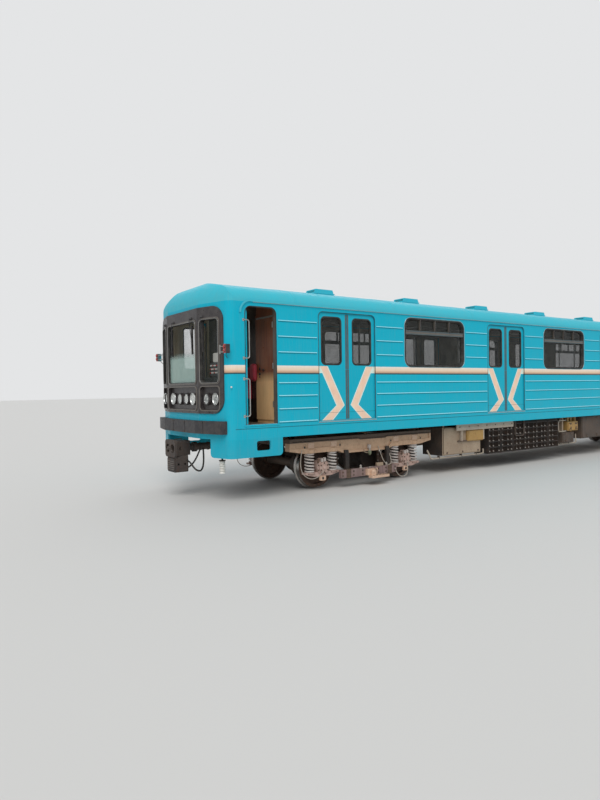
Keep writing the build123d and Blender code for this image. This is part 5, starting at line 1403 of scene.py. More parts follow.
@dataclass
class Cab:
    """Panes and fittings of the cab doors, desk controls, and fittings of the back wall."""

    palette: Palette
    pane_z: float = 2.6845
    pane: Flat = (0.338, 0.79)
    near_leaf_y: float = -1.017
    wall_x: float = MID - 8.45 - 0.018
    desk_top: float = FLOOR_Z + 0.7

    def near_leaf(self) -> None:
        """Pane, gasket, handle and lock of the near leaf, which stands open inwards."""
        make, p = Builder("cab_door_near_trim"), self.palette
        y, z = self.near_leaf_y, self.pane_z
        make.box((-8.948, y - 0.19, z - 0.418), (-8.943, y + 0.19, z + 0.418), p.glass, 0.001)
        for x, lift in ((-8.966, -0.005), (-8.926, 0.005)):
            make.gasket(on_end, (y, z), self.pane, 0.05, (x, -8.9455), (lift, 0, 0), p.rubber)
        make.lathe((-8.926, -0.775, 2.19), Axis.X, [(0.024, 0.0), (0.024, 0.006), (0.01, 0.01), (0.01, 0.045)],
                   p.rail, 16)
        make.tube([(-8.885, -0.775, 2.19), (-8.883, -0.8, 2.19), (-8.883, -0.9, 2.185)], 0.008, p.rail)
        for low, high in ((-8.931, -8.9255), (-8.97, -8.9655)):
            make.box((low, -0.83, 2.02), (high, -0.75, 2.25), p.trim, 0.002)
        for z in (1.34, 1.46):
            make.tube([(-8.9255, -1.25, z), (-8.9225, -1.24, z), (-8.9225, -0.78, z), (-8.9255, -0.77, z)], 0.004,
                      p.door, 6)
        make.build("cab_door_near", "door_paint")

    def far_leaf(self) -> None:
        """Pane, gasket and handle of the far leaf, which is shut."""
        make, p = Builder("cab_door_far_trim").at((CAB_DOOR_X, 0, 0)), self.palette
        z = self.pane_z
        make.box((-0.19, 1.3155, z - 0.418), (0.19, 1.3205, z + 0.418), p.screen, 0.001)
        for y, lift in ((1.338, 0.004), (1.298, -0.004)):
            make.gasket(on_side, (0, z), self.pane, 0.05, (y, 1.318), (0, lift, 0), p.rubber)
        make.lathe((0.22, 1.337, 2.16), Axis.Y, [(0.026, 0.0), (0.026, 0.004), (0.018, 0.008)], p.rail, 20)
        make.tube([(0.22, y, z) for y, z in ((1.342, 2.17), (1.352, 2.16), (1.352, 2.08), (1.342, 2.07))], 0.006,
                  p.rail)
        make.build("cab_door_far", "door_paint")

    def doorways(self) -> None:
        """Sill plates and seals of the two cab doorways."""
        make, p = Builder("cab_doorway_trim"), self.palette
        for side in Side:
            make.at((CAB_DOOR_X, 0, 0), (1, side.value, 1))
            make.box((-0.3, LINING_Y, SILL_Z - 0.002), (0.3, 1.349, SILL_Z + 0.003), p.trim, 0.001)
            make.box((-0.34, 1.35, SILL_Z - 0.03), (0.34, 1.358, SILL_Z - 0.004), p.rear_door, 0.003)
            make.tube(on_side(arch(0, 0.3, 0.11, 10), 1.3485), 0.006, p.rubber, 6)
        make.build("car_body", "rail_metal")

    def wall(self) -> None:
        """Lock, hinges and frame of the cupboard and gangway doors in the back wall."""
        make, p = Builder("cab_wall_fittings").at((self.wall_x, 0, 0)), self.palette
        for y, z, radius in ((-0.75, 2.215, 0.03), (-0.75, 2.125, 0.026), (-0.75, 2.075, 0.016), (-0.87, 2.19, 0.022)):
            make.lathe((0, y, z), Axis.X, [(radius, 0.0), (radius, -0.006), (radius * 0.5, -0.012)], p.knob, 18)
        make.tube([(-0.008, -0.87, 2.19), (-0.03, -0.87, 2.19), (-0.03, -0.96, 2.185)], 0.009, p.knob)
        for z in (1.55, 2.2, 2.9):
            make.box((-0.01, -1.205, z), (0, -1.175, z + 0.1), p.trim, 0.002)
        for low, high in ((-1.2, -0.64), (-0.31, 0.31)):
            make.box((-0.005, low, 3.08), (0, high, 3.11), p.trim, 0.001)
        make.tube([(0, 0.24, 2.15), (-0.05, 0.24, 2.15), (-0.05, 0.24, 2.35), (0, 0.24, 2.35)], 0.009, p.rail)
        make.build("car_body", "rail_metal")

    def desk(self) -> None:
        """Instruments, levers and switches on the desk, and the switch box beside it."""
        make, p = Builder("cab_desk_fittings").at((FACE_X, 0, self.desk_top)), self.palette
        for i in range(5):
            y = -0.42 + i * 0.2
            make.lathe((0.28, y, 0.035), Axis.X, [(0.05, 0.1), (0.052, 0.0), (0.046, -0.006)], p.strip, 24)
            make.lathe((0.385, y, 0.035), Axis.X, [(0.046, 0.0), (0.044, 0.003)], p.cap, 24)
        make.box((0.14, -0.52, -0.02), (0.34, 0.58, 0.1), p.desk, 0.02)
        for row in range(3):
            for i in range(12):
                place = (0.345 + row * 0.03, -0.3 + i * 0.06, -0.025 - row * 0.012)
                make.lathe(place, Axis.Z, [(0.009, -0.004), (0.009, 0.012), (0.006, 0.016)],
                           p.cap if (i + row) % 4 else p.red, 12)
        for y, height in ((0.46, 0.16), (-0.4, 0.12)):
            make.lathe((0.36, y, -0.04), Axis.Z, [(0.045, 0.0), (0.04, 0.03), (0.012, 0.035), (0.012, height),
                                                  (0.024, height + 0.005), (0.024, height + 0.03),
                                                  (0.01, height + 0.04)], p.knob, 20)
        make.at(ORIGIN)
        for i in range(6):
            for z in (2.14, 2.2, 2.26):
                make.lathe((-9.275, -0.9 + i * 0.045, z), Axis.X, [(0.012, 0.03), (0.013, 0.0), (0.009, -0.006)],
                           p.cap if (i + int(z * 100)) % 3 else p.red, 12)
        make.box((-9.265, -0.94, 2.09), (-9.13, -0.64, 2.31), p.desk, 0.01)
        make.box((-9.23, -0.92, 1.312), (-9.15, -0.66, 2.095), p.desk, 0.01)
        make.box((-9.27, -0.94, 2.312), (-9.19, -0.76, 2.47), p.cap, 0.012)
        make.box((-9.12, -1.24, 2.55), (-9.09, -1.05, 2.62), p.strip, 0.004)
        make.build("car_body", "desk_plastic")

    def seats(self) -> None:
        """Cushions of the driver's seat and the folding seat."""
        x, z = FACE_X, FLOOR_Z
        for name, low, high in (
            ("driver_cushion", (x + 0.55, 0.2, z + 0.515), (x + 0.9, 0.64, z + 0.575)),
            ("driver_back_cushion", (x + 0.86, 0.22, z + 0.56), (x + 0.895, 0.62, z + 1.0)),
            ("folding_cushion", (MID - 8.595, -0.455, z + 0.44), (MID - 8.555, -0.155, z + 0.96)),
            ("folding_back_cushion", (MID - 8.555, -0.69, 2.0), (MID - 8.468, -0.51, 2.31)),
        ):
            Cushion(name, low, high, self.palette.seat, "seat_cloth").build()

    def build(self) -> None:
        """Builds the cab."""
        for step in (self.near_leaf, self.far_leaf, self.doorways, self.wall, self.desk, self.seats):
            step()


@dataclass
class Cushion:
    """A padded block with a crowned skin."""

    name: str
    low: Point
    high: Point
    finish: Material
    slot: str
    levels: tuple[Flat, ...] = ((0.0, 0.03), (0.25, 0.004), (0.6, 0.0), (0.85, 0.012), (1.0, 0.05))

    def build(self) -> None:
        size = [b - a for a, b in zip(self.low, self.high)]
        thin = size.index(min(size))
        wide, tall = (i for i in range(3) if i != thin)
        corner = min(0.06, min(size[wide], size[tall]) * 0.3)
        make = Builder(self.name)
        rings = []
        for share, inset in self.levels:
            ring = []
            for a, b in rounded(0.0, 0.0, size[wide] - 2 * inset, size[tall] - 2 * inset, corner, 5):
                point = [0.0, 0.0, 0.0]
                point[wide] = (self.low[wide] + self.high[wide]) / 2 + a
                point[tall] = (self.low[tall] + self.high[tall]) / 2 + b
                point[thin] = self.low[thin] + size[thin] * share
                ring.append(point)
            rings.append(ring)
        make.loft(rings, self.finish, True)
        make.build("car_body", self.slot)


@dataclass
class Saloon:
    """Cushions, ceiling lamps and pole fittings of the passenger room."""

    palette: Palette
    bench_gap: float = 0.19
    pole_gap: float = 0.15
    lamp_pitch: float = 1.4

    def cushions(self) -> None:
        """Seat cushions of all benches."""
        half = DOOR_PITCH / 2 - HALF_DOOR - self.bench_gap
        spans = [(x - half, x + half) for x in WINDOW_XS]
        spans.append((DOOR_XS[3] + HALF_DOOR + self.bench_gap, REAR_X - 0.1))
        for n, (start, end) in enumerate(spans, 1):
            for side in Side:
                near, far = sorted((side.value * 0.79, side.value * 1.16))
                Cushion(f"bench_{n}_{side.word}_seat", (start + 0.02, near, FLOOR_Z + 0.448),
                        (end - 0.02, far, FLOOR_Z + 0.505), self.palette.bench, "bench_cloth").build()

    def lamps(self) -> None:
        """Two lines of ceiling lamps with bright edges."""
        make, p = Builder("ceiling_lamps"), self.palette
        for n in range(12):
            for side in Side:
                make.at((MID - 8.1 + n * self.lamp_pitch, 0, 0), (1, side.value, 1))
                make.box((0, 0.4, 3.545), (1.15, 0.56, 3.6), p.cap, 0.02)
                make.box((-0.012, 0.385, 3.588), (1.162, 0.575, 3.602), p.trim, 0.003)
        make.build("car_body", "pole_metal")

    def poles(self) -> None:
        """Sockets at the foot and head of the grab poles."""
        make, p = Builder("pole_fittings"), self.palette
        place = (HALF_DOOR + self.pole_gap, 0.72, 0.0)
        for x in DOOR_XS:
            for hand in (-1, 1):
                for side in Side:
                    make.at((x, 0, FLOOR_Z), (hand, side.value, 1))
                    make.lathe(place, Axis.Z, [(0.034, 0.0), (0.034, 0.008), (0.02, 0.03)], p.trim, 20)
                    make.lathe(place, Axis.Z, [(0.019, 1.76), (0.026, 1.79), (0.026, 1.872), (0.016, 1.876)], p.trim,
                               20)
        make.build("car_body", "pole_metal")

    def build(self) -> None:
        """Builds the saloon."""
        self.cushions()
        self.lamps()
        self.poles()


@dataclass
class Roof:
    """Sheet seams, drip edges and hood louvres of the roof."""

    palette: Palette
    radius: float = 3.949
    crown_z: float = 3.7
    half_turn: float = 0.3039
    corner: float = 0.24
    corner_at: Flat = (1.11, 3.29)
    pitch: float = 2.32

    def outline(self, lift: float) -> list[Flat]:
        """Outline of the roof across the car, from one gutter to the other.

        Args:
            lift: Distance over the sheet.

        Returns:
            Pairs of y and z.
        """
        steep = 90 - math.degrees(self.half_turn)
        crown = arc(0.0, self.crown_z - self.radius, self.radius + lift, 180 - steep, steep, 29)
        corner = arc(*self.corner_at, self.corner + lift, steep, 0, 9)[1:]
        return [(-y, z) for y, z in corner[::-1]] + crown + corner

    def seams(self, make: Builder) -> None:
        """Welded cover strips across the roof.

        Args:
            make: The piece.
        """
        rings = [on_end(self.outline(lift), dx) for dx, lift in ((-0.02, -0.002), (-0.016, 0.003), (0.016, 0.003),
                                                                 (0.02, -0.002))]
        count = len(rings[0])
        faces = [(r * count + j, (r + 1) * count + j, (r + 1) * count + j + 1, r * count + j + 1)
                 for r in range(3) for j in range(count - 1)]
        for n in range(8):
            make.at((MID - 8.12 + n * self.pitch, 0, 0))
            make.add([point for ring in rings for point in ring], faces, self.palette.roof, True)

    def build(self) -> None:
        """Builds the seams, the hoods' louvre slats, the drip strips and the visor over the mask."""
        make, p = Builder("roof_details"), self.palette
        self.seams(make)
        for n in range(7):
            for side in Side:
                make.at((MID + (n - 3) * self.pitch, side.value * 0.52, 0))
                for y in (-0.15, 0.15):
                    make.box((-0.25, y - 0.006, 3.655), (0.25, y + 0.006, 3.672), p.roof, 0.002)
        for side in Side:
            make.at(ORIGIN, (1, side.value, 1))
            make.box((MID - 8.95, 1.35, EAVES_Z - 0.006), (REAR_X - 0.1, 1.366, EAVES_Z + 0.001), p.trim, 0.001)
        make.box((MID - 9.3, -0.06, 3.6), (MID - 9.18, 0.06, 3.642), p.cap, 0.012)
        make.build("car_body", "roof_paint")


@dataclass
class RearEnd:
    """Door fittings, tail lamps, sockets and hand grips of the rear end, in a frame that starts at its wall."""

    palette: Palette
    lamp_y: float = 0.95
    grip_y: float = 1.08
    window: Flat = (0.39, 0.77)
    door_window: Flat = (0.37, 0.71)

    def build(self) -> None:
        """Builds the rear end's fittings."""
        make, p = Builder("rear_fittings"), self.palette
        for side in Side:
            make.at((REAR_X, 0, 0), (1, side.value, 1))
            for z in (3.1, 1.45):
                make.lathe((0, self.lamp_y, z), Axis.X, [(0.055, 0.0), (0.055, 0.012), (0.046, 0.018)], p.strip, 24)
                make.lathe((0.014, self.lamp_y, z), Axis.X, [(0.045, 0.0), (0.04, 0.012), (0.004, 0.02)], p.red, 24)
            make.tube([(x, self.grip_y, z) for x, z in ((0, 1.6), (0.05, 1.6), (0.05, 2.5), (0, 2.5))], 0.012, p.rail)
            make.gasket(on_end, (0.78, 2.578), self.window, 0.07, (0, -0.034), (0.006, 0, 0), p.rubber, 0.03)
            make.box((0, 0.45, 1.12), (0.09, 0.7, 1.26), p.gear, 0.012)
            make.lathe((0.05, 0.575, 1.19), Axis.X, [(0.05, 0.0), (0.05, 0.06), (0.04, 0.075)], p.dark_gear, 20)
            make.box((0, 0.32, FLOOR_Z + 0.02), (0.012, 0.36, 3.12), p.rubber, 0.004)
        make.box((0, -0.36, 3.11), (0.03, 0.36, 3.14), p.rear_door, 0.006)
        make.build("car_body", "strip_plastic")
        leaf = Builder("rear_door_trim").at((REAR_X, 0, 0))
        for x, lift in ((-0.01, 0.004), (-0.05, -0.004)):
            leaf.gasket(on_end, (0.0, 2.548), self.door_window, 0.045, (x, -0.03), (lift, 0, 0), p.rubber, 0.03)
        leaf.box((-0.033, -0.2, 2.18), (-0.028, 0.2, 2.915), p.glass, 0.001)
        leaf.lathe((-0.01, -0.24, 2.1), Axis.X, [(0.026, 0.0), (0.026, 0.006), (0.01, 0.008)], p.rail, 20)
        leaf.box((-0.012, -0.27, 2.0), (-0.007, -0.21, 2.2), p.trim, 0.001)
        leaf.build("rear_door", "door_paint")


@dataclass
class BogieDressing:
    """Open springs, covers, bolts, pipes and cables of one bogie, in frames that start at its middle."""

    palette: Palette
    end: str
    spring_xs: tuple[float, ...] = (-1.308, -0.792, 0.792, 1.308)
    coil_radius: float = 0.077
    coil_turns: float = 6.5
    coil_steps: int = 20
    coil_foot: float = 0.358
    coil_rise: float = 0.317
    beam_y: float = 1.057
    motor_ring: float = 0.215

    @property
    def body(self) -> str:
        """The body that the bogie's pieces ride on."""
        return f"bogie_{self.end}"

    def at(self, make: Builder, side: Side, offset: float = 0.0, z: float = 0.0) -> Builder:
        """Moves a piece's frame to a place on one side of the bogie.

        Args:
            make: The piece.
            side: The side.
            offset: Place along the car from the bogie's middle.
            z: Height of the frame's origin.

        Returns:
            The piece.
        """
        return make.at((BOGIE_XS[self.end] + offset, 0, z), (1, side.value, 1))

    def springs(self) -> None:
        """Open coil springs round their rubber buffers."""
        make, p = Builder(f"open_springs_{self.end}"), self.palette
        steps = int(self.coil_turns * self.coil_steps)
        path = []
        for i in range(steps + 1):
            turn = 2 * math.pi * i / self.coil_steps
            eased = min(1.0, max(0.0, (i / steps - 0.07) / 0.86))
            path.append((self.coil_radius * math.cos(turn), 1.0 + self.coil_radius * math.sin(turn),
                         self.coil_foot + self.coil_rise * eased))
        for offset in self.spring_xs:
            for side in Side:
                self.at(make, side, offset)
                make.tube(path, 0.0165, p.spring)
                make.lathe((0, 1.0, 0), Axis.Z, [(0.056, 0.34), (0.054, 0.5), (0.038, 0.505), (0.038, 0.62),
                                                 (0.054, 0.625), (0.056, 0.693)], p.hose, 18)
        make.build(self.body, "spring_steel", (f"{self.body}_springs",))

    def beam(self, make: Builder, side: Side) -> None:
        """Hole rims with dark discs of painted shade in them, pads, brackets and pipes on a side beam.

        Args:
            make: The piece.
            side: The side.
        """
        p, y = self.palette, self.beam_y
        for offset in (-1.448, -0.639, 0.652, 1.489):
            self.at(make, side, offset, RAIL + 0.775)
            make.lathe((0, y, 0), Axis.Y, [(0.04, 0.0), (0.038, 0.012), (0.024, 0.012), (0.022, 0.001)], p.bogie, 20,
                       caps=False)
            # A dark disc inside each rim stands in for the hole: painted shade.
            make.lathe((0, y, 0), Axis.Y, [(0.023, 0.0), (0.021, 0.002)], p.hose, 20)
        for offset in self.spring_xs:
            self.at(make, side, offset)
            make.box((-0.07, y, 0.772), (0.07, 1.067, 0.88), p.pad, 0.004)
            make.bolts([(-0.045, 1.067, 0.83), (0.045, 1.067, 0.83)], Axis.Y, 0.01, 0.008, p.pad)
        self.at(make, side)
        make.bolts([(-1.6 + n * 0.4, 1.075, 0.943) for n in range(9)], Axis.Y, 0.009, 0.007, p.bolt)
        make.tube([(x, 1.067, z) for x, z in ((-1.7, 0.905), (-0.2, 0.905), (-0.15, 0.88), (0.5, 0.88), (0.55, 0.905),
                                              (1.7, 0.905))], 0.009, p.frame)
        for x in (-1.5, -0.9, -0.35, 0.8, 1.4):
            make.box((x - 0.012, y, 0.89), (x + 0.012, 1.079, 0.92), p.bolt, 0.002)

    def axle_box(self, make: Builder, side: Side, offset: float) -> None:
        """Bolted cover, lugs, gland and fins of an axle box.

        Args:
            make: The piece.
            side: The side.
            offset: The axle's place from the bogie's middle.
        """
        p = self.palette
        self.at(make, side, offset, AXLE_Z)
        make.lathe((0, 1.104, 0), Axis.Y, [(0.098, 0.0), (0.096, 0.01), (0.07, 0.012), (0.066, 0.006), (0.034, 0.006),
                                           (0.032, 0.022), (0.026, 0.026)], p.box_iron, 32, smooth=False)
        make.bolts(on_side(arc(0, 0, 0.083, 30, 330, 6), 1.114), Axis.Y, 0.012, 0.01, p.bolt)
        make.bolts(on_side(arc(0, 0, 0.118, 22.5, 337.5, 8), 1.08), Axis.Y, 0.01, 0.012, p.bolt)
        make.box((-0.05, 0.95, 0.12), (0.05, 1.06, 0.165), p.box_iron, 0.01)
        for x, low, high in ((-0.03, 0.095, 0.165), (0.032, 0.105, 0.178)):
            make.box((x - 0.024, 1.045, low), (x + 0.024, 1.1, high), p.spring, 0.008)
        make.lathe((-0.095, 1.062, 0.105), Axis.Z, [(0.02, -0.02), (0.02, 0.02), (0.013, 0.028), (0.013, 0.05)],
                   p.brake, 12)
        self.at(make, side, offset)
        make.box((-0.065, 1.02, 0.175), (0.065, 1.085, 0.268), p.pad, 0.012)
        make.lathe((-0.012, 1.0845, 0.222), Axis.Y, [(0.026, 0.0), (0.024, 0.002)], p.hose, 18)
        make.bolts([(x + a, 1.062, 0.322) for x in (-0.258, 0.258) for a in (-0.06, 0.06)], Axis.Y, 0.011, 0.01, p.bolt)
        for x in (-0.3, -0.22, 0.22, 0.3):
            make.box((x - 0.006, 0.94, 0.262 + abs(x) * 0.12), (x + 0.006, 1.058, 0.31), p.box_iron, 0.002)

    def shoe_gear(self, make: Builder, side: Side) -> None:
        """Straps, through bolts, insulators, fuse box and shoe of the collector beam.

        Args:
            make: The piece.
            side: The side.
        """
        p = self.palette
        self.at(make, side)
        make.bolts([(x, 1.165, z) for x in (-0.66, -0.4, -0.18, 0.22, 0.42, 0.66) for z in (0.228, 0.298)], Axis.Y,
                   0.014, 0.014, p.bolt)
        for x in (-0.52, 0.52):
            make.box((x - 0.055, 1.16, 0.18), (x + 0.055, 1.172, 0.346), p.brake, 0.003)
            make.box((x - 0.055, 1.09, 0.336), (x + 0.055, 1.172, 0.348), p.brake, 0.003)
            make.bolts([(x + a, 1.172, z) for a in (-0.03, 0.03) for z in (0.22, 0.3)], Axis.Y, 0.012, 0.012, p.bolt)
        make.box((0.2, 1.1, 0.338), (0.36, 1.16, 0.405), p.gear, 0.008)
        make.bolts([(0.28, 1.13, 0.405)], Axis.Z, 0.012, 0.01, p.bolt)
        for x in (-0.2, 0.46):
            make.lathe((x, 1.13, 0), Axis.Z,
                       [(0.028, 0.338), (0.028, 0.35), (0.018, 0.354), (0.026, 0.362), (0.018, 0.37),
                                              (0.026, 0.378), (0.016, 0.386), (0.01, 0.4)], p.ceramic, 16)
        make.tube([(-0.06, 1.2, 0.318), (-0.06, 1.2, 0.35), (0.02, 1.23, 0.36), (0.1, 1.25, 0.3),
                   (0.1, 1.26, 0.195)], 0.007, p.worn, 6)
        make.lathe((0.02, 1.225, 0.26), Axis.Y, [(0.045, 0.0), (0.045, 0.03), (0.03, 0.036), (0.012, 0.05)], p.pad, 18)
        for x in (-0.02, 0.06, 0.14, 0.22, 0.3):
            make.box((x, 1.2, 0.192), (x + 0.012, 1.318, 0.199), p.worn, 0.002)

    def middle(self, make: Builder, side: Side) -> None:
        """Pale hanger with its valve at the middle of a beam, pipes, and pins of the brake levers.

        Args:
            make: The piece.
            side: The side.
        """
        p = self.palette
        self.at(make, side, 0.06, RAIL)
        make.box((-0.03, 1.062, 0.66), (0.03, 1.085, 0.738), p.spring, 0.004)
        make.lathe((0, 1.098, 0), Axis.Z,
                   [(0.012, 0.735), (0.026, 0.725), (0.026, 0.66), (0.016, 0.655), (0.016, 0.62)], p.spring, 16)
        make.lathe((0, 1.098, 0), Axis.Z, [(0.03, 0.62), (0.034, 0.61), (0.034, 0.56), (0.022, 0.548), (0.012, 0.534)],
                   p.valve, 18)
        make.tube([(-0.035, 1.098, 0.585), (-0.09, 1.098, 0.585), (-0.12, 1.09, 0.6), (-0.13, 1.08, 0.66)], 0.007,
                  p.gear, 6)
        for out in (-1, 1):
            make.at((BOGIE_XS[self.end], 0, 0), (out, side.value, 1))
            for z in (0.4, 0.52, 0.74):
                make.lathe((0.512, 0.82, z), Axis.Y, [(0.018, 0.0), (0.018, 0.018), (0.012, 0.022)], p.worn, 12)
            make.tube([(0.42, 0.804, 0.86), (0.3, 0.804, 0.9), (0.1, 0.78, 0.91)], 0.01, p.gear)

    def motors(self) -> None:
        """Bands, covers and bolts of the two motors."""
        make, p = Builder(f"motor_fittings_{self.end}"), self.palette
        for out in (-1, 1):
            make.at((BOGIE_XS[self.end] + out * 0.64, -out * 0.06, AXLE_Z), (1, -out, 1))
            for y in (-0.385, -0.25, 0.25, 0.385):
                make.lathe((0, y, 0.01), Axis.Y, [(0.248, -0.012), (0.256, -0.01), (0.256, 0.01), (0.248, 0.012)],
                           p.motor, 32)
            make.box((-0.11, -0.12, -0.262), (0.11, 0.12, -0.22), p.dark_gear, 0.008)
            make.bolts([(a, b, -0.262) for a in (-0.09, 0.09) for b in (-0.1, 0.1)], Axis.Z, 0.01, -0.008, p.bolt)
            make.bolts([(self.motor_ring * math.cos(t), 0.39, 0.01 + self.motor_ring * math.sin(t))
                        for t in (0.5, 1.5, 2.6, 3.7, 4.7, 5.7)], Axis.Y, 0.012, 0.01, p.bolt)
        make.build(self.body, "motor_iron")

    def cables(self) -> None:
        """Earth and collector cables that hang between beam, axle boxes and shoe gear."""
        routes = {
            "mid_front": ((0.3, 1.078, 0.72), (0.31, 1.12, 0.6), (0.36, 1.16, 0.43), (0.42, 1.175, 0.37),
                          (0.44, 1.155, 0.345)),
            "mid_rear": ((0.52, 1.078, 0.72), (0.55, 1.12, 0.58), (0.57, 1.16, 0.42), (0.53, 1.185, 0.36),
                         (0.48, 1.155, 0.345)),
            "box": ((-1.52, 1.078, 0.76), (-1.6, 1.13, 0.6), (-1.6, 1.17, 0.36), (-1.42, 1.185, 0.235),
                    (-1.2, 1.17, 0.27), (-1.06, 1.11, 0.37)),
            "shoe": ((0.66, 1.16, 0.27), (0.69, 1.195, 0.14), (0.84, 1.205, 0.075), (1.0, 1.195, 0.14),
                     (1.06, 1.11, 0.37)),
        }
        for side in Side:
            for name, route in routes.items():
                points = [(BOGIE_XS[self.end] + x, side.value * y, z) for x, y, z in route]
                hose(f"{self.body}_{side.word}_{name}_cable", self.body, points, 0.014, self.palette.cable)

    def build(self) -> None:
        """Builds the bogie's dressing."""
        self.springs()
        for side in Side:
            make = Builder(f"bogie_fittings_{self.end}_{side.word}")
            self.beam(make, side)
            for offset in (-HALF_BASE, HALF_BASE):
                self.axle_box(make, side, offset)
            self.shoe_gear(make, side)
            self.middle(make, side)
            make.build(self.body, "bogie_paint")
        self.motors()


@dataclass
class Underfloor:
    """Grids, insulators, frames, pipes and latches of the gear between the bogies."""

    palette: Palette
    module: float = 0.4357
    module_gap: float = 0.022
    bank_x: float = -2.829
    row_pitch: float = 0.1248
    insulator_pitch: float = 0.33
    # Equipment boxes: side, start and end along the car as shares of its half length, depth in from the skin,
    # and their low and high edges over the rail
    half_length: float = 8.76
    doors: tuple[tuple[Side, float, float, float, float, float], ...] = (
        (Side.NEAR, 0.11, 0.275, 0.13, 0.43, 1.01), (Side.NEAR, 0.31, 0.455, 0.13, 0.43, 1.01),
        (Side.FAR, -0.49, -0.3, 0.13, 0.4, 1.01), (Side.FAR, -0.26, -0.05, 0.12, 0.38, 1.01),
        (Side.FAR, -0.01, 0.125, 0.15, 0.42, 0.96), (Side.FAR, 0.16, 0.262, 0.15, 0.46, 0.99),
        (Side.FAR, 0.297, 0.468, 0.13, 0.4, 1.01), (Side.NEAR, 0.036, 0.089, 0.12, 0.66, 0.897),
        (Side.NEAR, 0.012, 0.071, 0.14, 0.362, 0.635),
    )

    def grids(self) -> None:
        """Resistor ribbons in the recesses of the bank."""
        make, p = Builder("resistor_grids").at((MID + self.bank_x, 0, 0.338), (1, -1, 1)), self.palette
        for n in range(6):
            for row in range(5):
                low = row * self.row_pitch + 0.026
                for i in range(13):
                    x = n * (self.module + self.module_gap) + 0.022 + (i + 0.5) * (self.module - 0.044) / 13
                    x += 0.004 if i % 2 else -0.004
                    for back, front in ((1.184, 1.222), (0.606, 0.568)):
                        make.box((x - 0.002, back, low + 0.006), (x + 0.002, front, low + 0.093), p.grid, 0.0008)
        make.build("car_body", "resistor_black")

    def insulators(self) -> None:
        """Straps in front of the resistors, with their ceramic insulators."""
        make, p = Builder("resistor_insulators"), self.palette
        for n in range(8):
            for step in (0.0, 0.13):
                make.at((MID - 2.806 + n * self.insulator_pitch + step, 0, 0), (1, -1, 1))
                make.box((-0.009, 1.23, 0.345), (0.009, 1.236, 0.985), p.resistor, 0.001)
                for z in (0.367, 0.484, 0.6, 0.72, 0.85):
                    make.lathe((0, 1.236, RAIL + z), Axis.Y,
                               [(0.013, 0.0), (0.014, 0.006), (0.01, 0.01), (0.013, 0.016),
                                                              (0.006, 0.022)], p.ceramic, 12)
        make.build("car_body", "resistor_black")

    def near_frames(self, make: Builder) -> None:
        """Plates, boxes, brackets and pipes that hang along the near side.

        Args:
            make: The piece.
        """
        p = self.palette
        make.at((MID, 0, RAIL), (1, Side.NEAR.value, 1))
        for low, high, finish, chamfer in (
            ((-3.897, 1.215, 0.88), (-1.931, 1.245, 1.018), p.pale, 0.006),
            ((-3.511, 1.02, 0.635), (-2.985, 1.22, 0.878), p.ochre, 0.014),
            ((-3.49, 1.22, 0.655), (-3.005, 1.228, 0.858), p.ochre, 0.006),
            ((-3.73, 1.19, 0.655), (-3.698, 1.235, 0.9), p.pale, 0.005),
            ((-3.006, 1.19, 0.655), (-2.974, 1.235, 0.9), p.pale, 0.005),
            ((-3.8, 1.15, 0.64), (-2.95, 1.2, 0.662), p.dark_gear, 0.004),
            ((0.27, 0.8, 0.641), (0.31, 1.22, 0.681), p.dark_gear, 0.004),
            ((0.27, 0.8, 0.916), (0.31, 1.22, 0.956), p.dark_gear, 0.004),
            ((0.0, 0.75, 0.9), (0.04, 1.21, 1.06), p.dark_gear, 0.004),
        ):
            make.box(low, high, finish, chamfer)
        for x, low, high in ((-4.3, 0.31, 0.37), (-3.6, 0.31, 0.37), (-3.1, 0.31, 0.37), (0.15, 0.32, 0.372),
                             (0.55, 0.32, 0.372)):
            make.box((x - 0.012, 1.06, low), (x + 0.012, 1.12, high), p.dark_gear, 0.003)
        make.bolts([(-3.8 + i * 0.3, 1.245, 0.96) for i in range(7)], Axis.Y, 0.012, 0.01, p.bolt)
        make.bolts([(x, 1.164, 0.42) for x in (-4.119, -3.62, -3.109)], Axis.Y, 0.017, 0.012, p.bolt)
        for radius, sides, finish, path in (
            (0.017, 10, p.pale, ((-4.574, 1.02, 0.5), (-4.574, 1.09, 0.4), (-4.54, 1.1, 0.322), (-4.45, 1.1, 0.32),
                                 (-2.92, 1.1, 0.32), (-2.85, 1.1, 0.33), (-2.836, 1.08, 0.42))),
            (0.017, 10, p.pale, ((-0.1, 1.05, 0.6), (-0.09, 1.09, 0.4), (-0.05, 1.1, 0.335), (0.05, 1.1, 0.33),
                                 (0.85, 1.1, 0.33), (0.905, 1.1, 0.345), (0.915, 1.08, 0.55))),
            (0.014, 8, p.dark_gear, ((-1.885, 1.248, 1.03), (-1.885, 1.248, 0.7), (-1.85, 1.248, 0.665),
                                     (-1.578, 1.248, 0.665), (-1.543, 1.248, 0.7), (-1.543, 1.248, 1.03))),
            (0.015, 8, p.pale, ((0.3, 1.2, 0.936), (-0.01, 1.2, 0.936), (-0.045, 1.2, 0.9), (-0.045, 1.2, 0.7),
                                (-0.01, 1.2, 0.661), (0.3, 1.2, 0.661))),
        ):
            make.tube(path, radius, finish, sides)

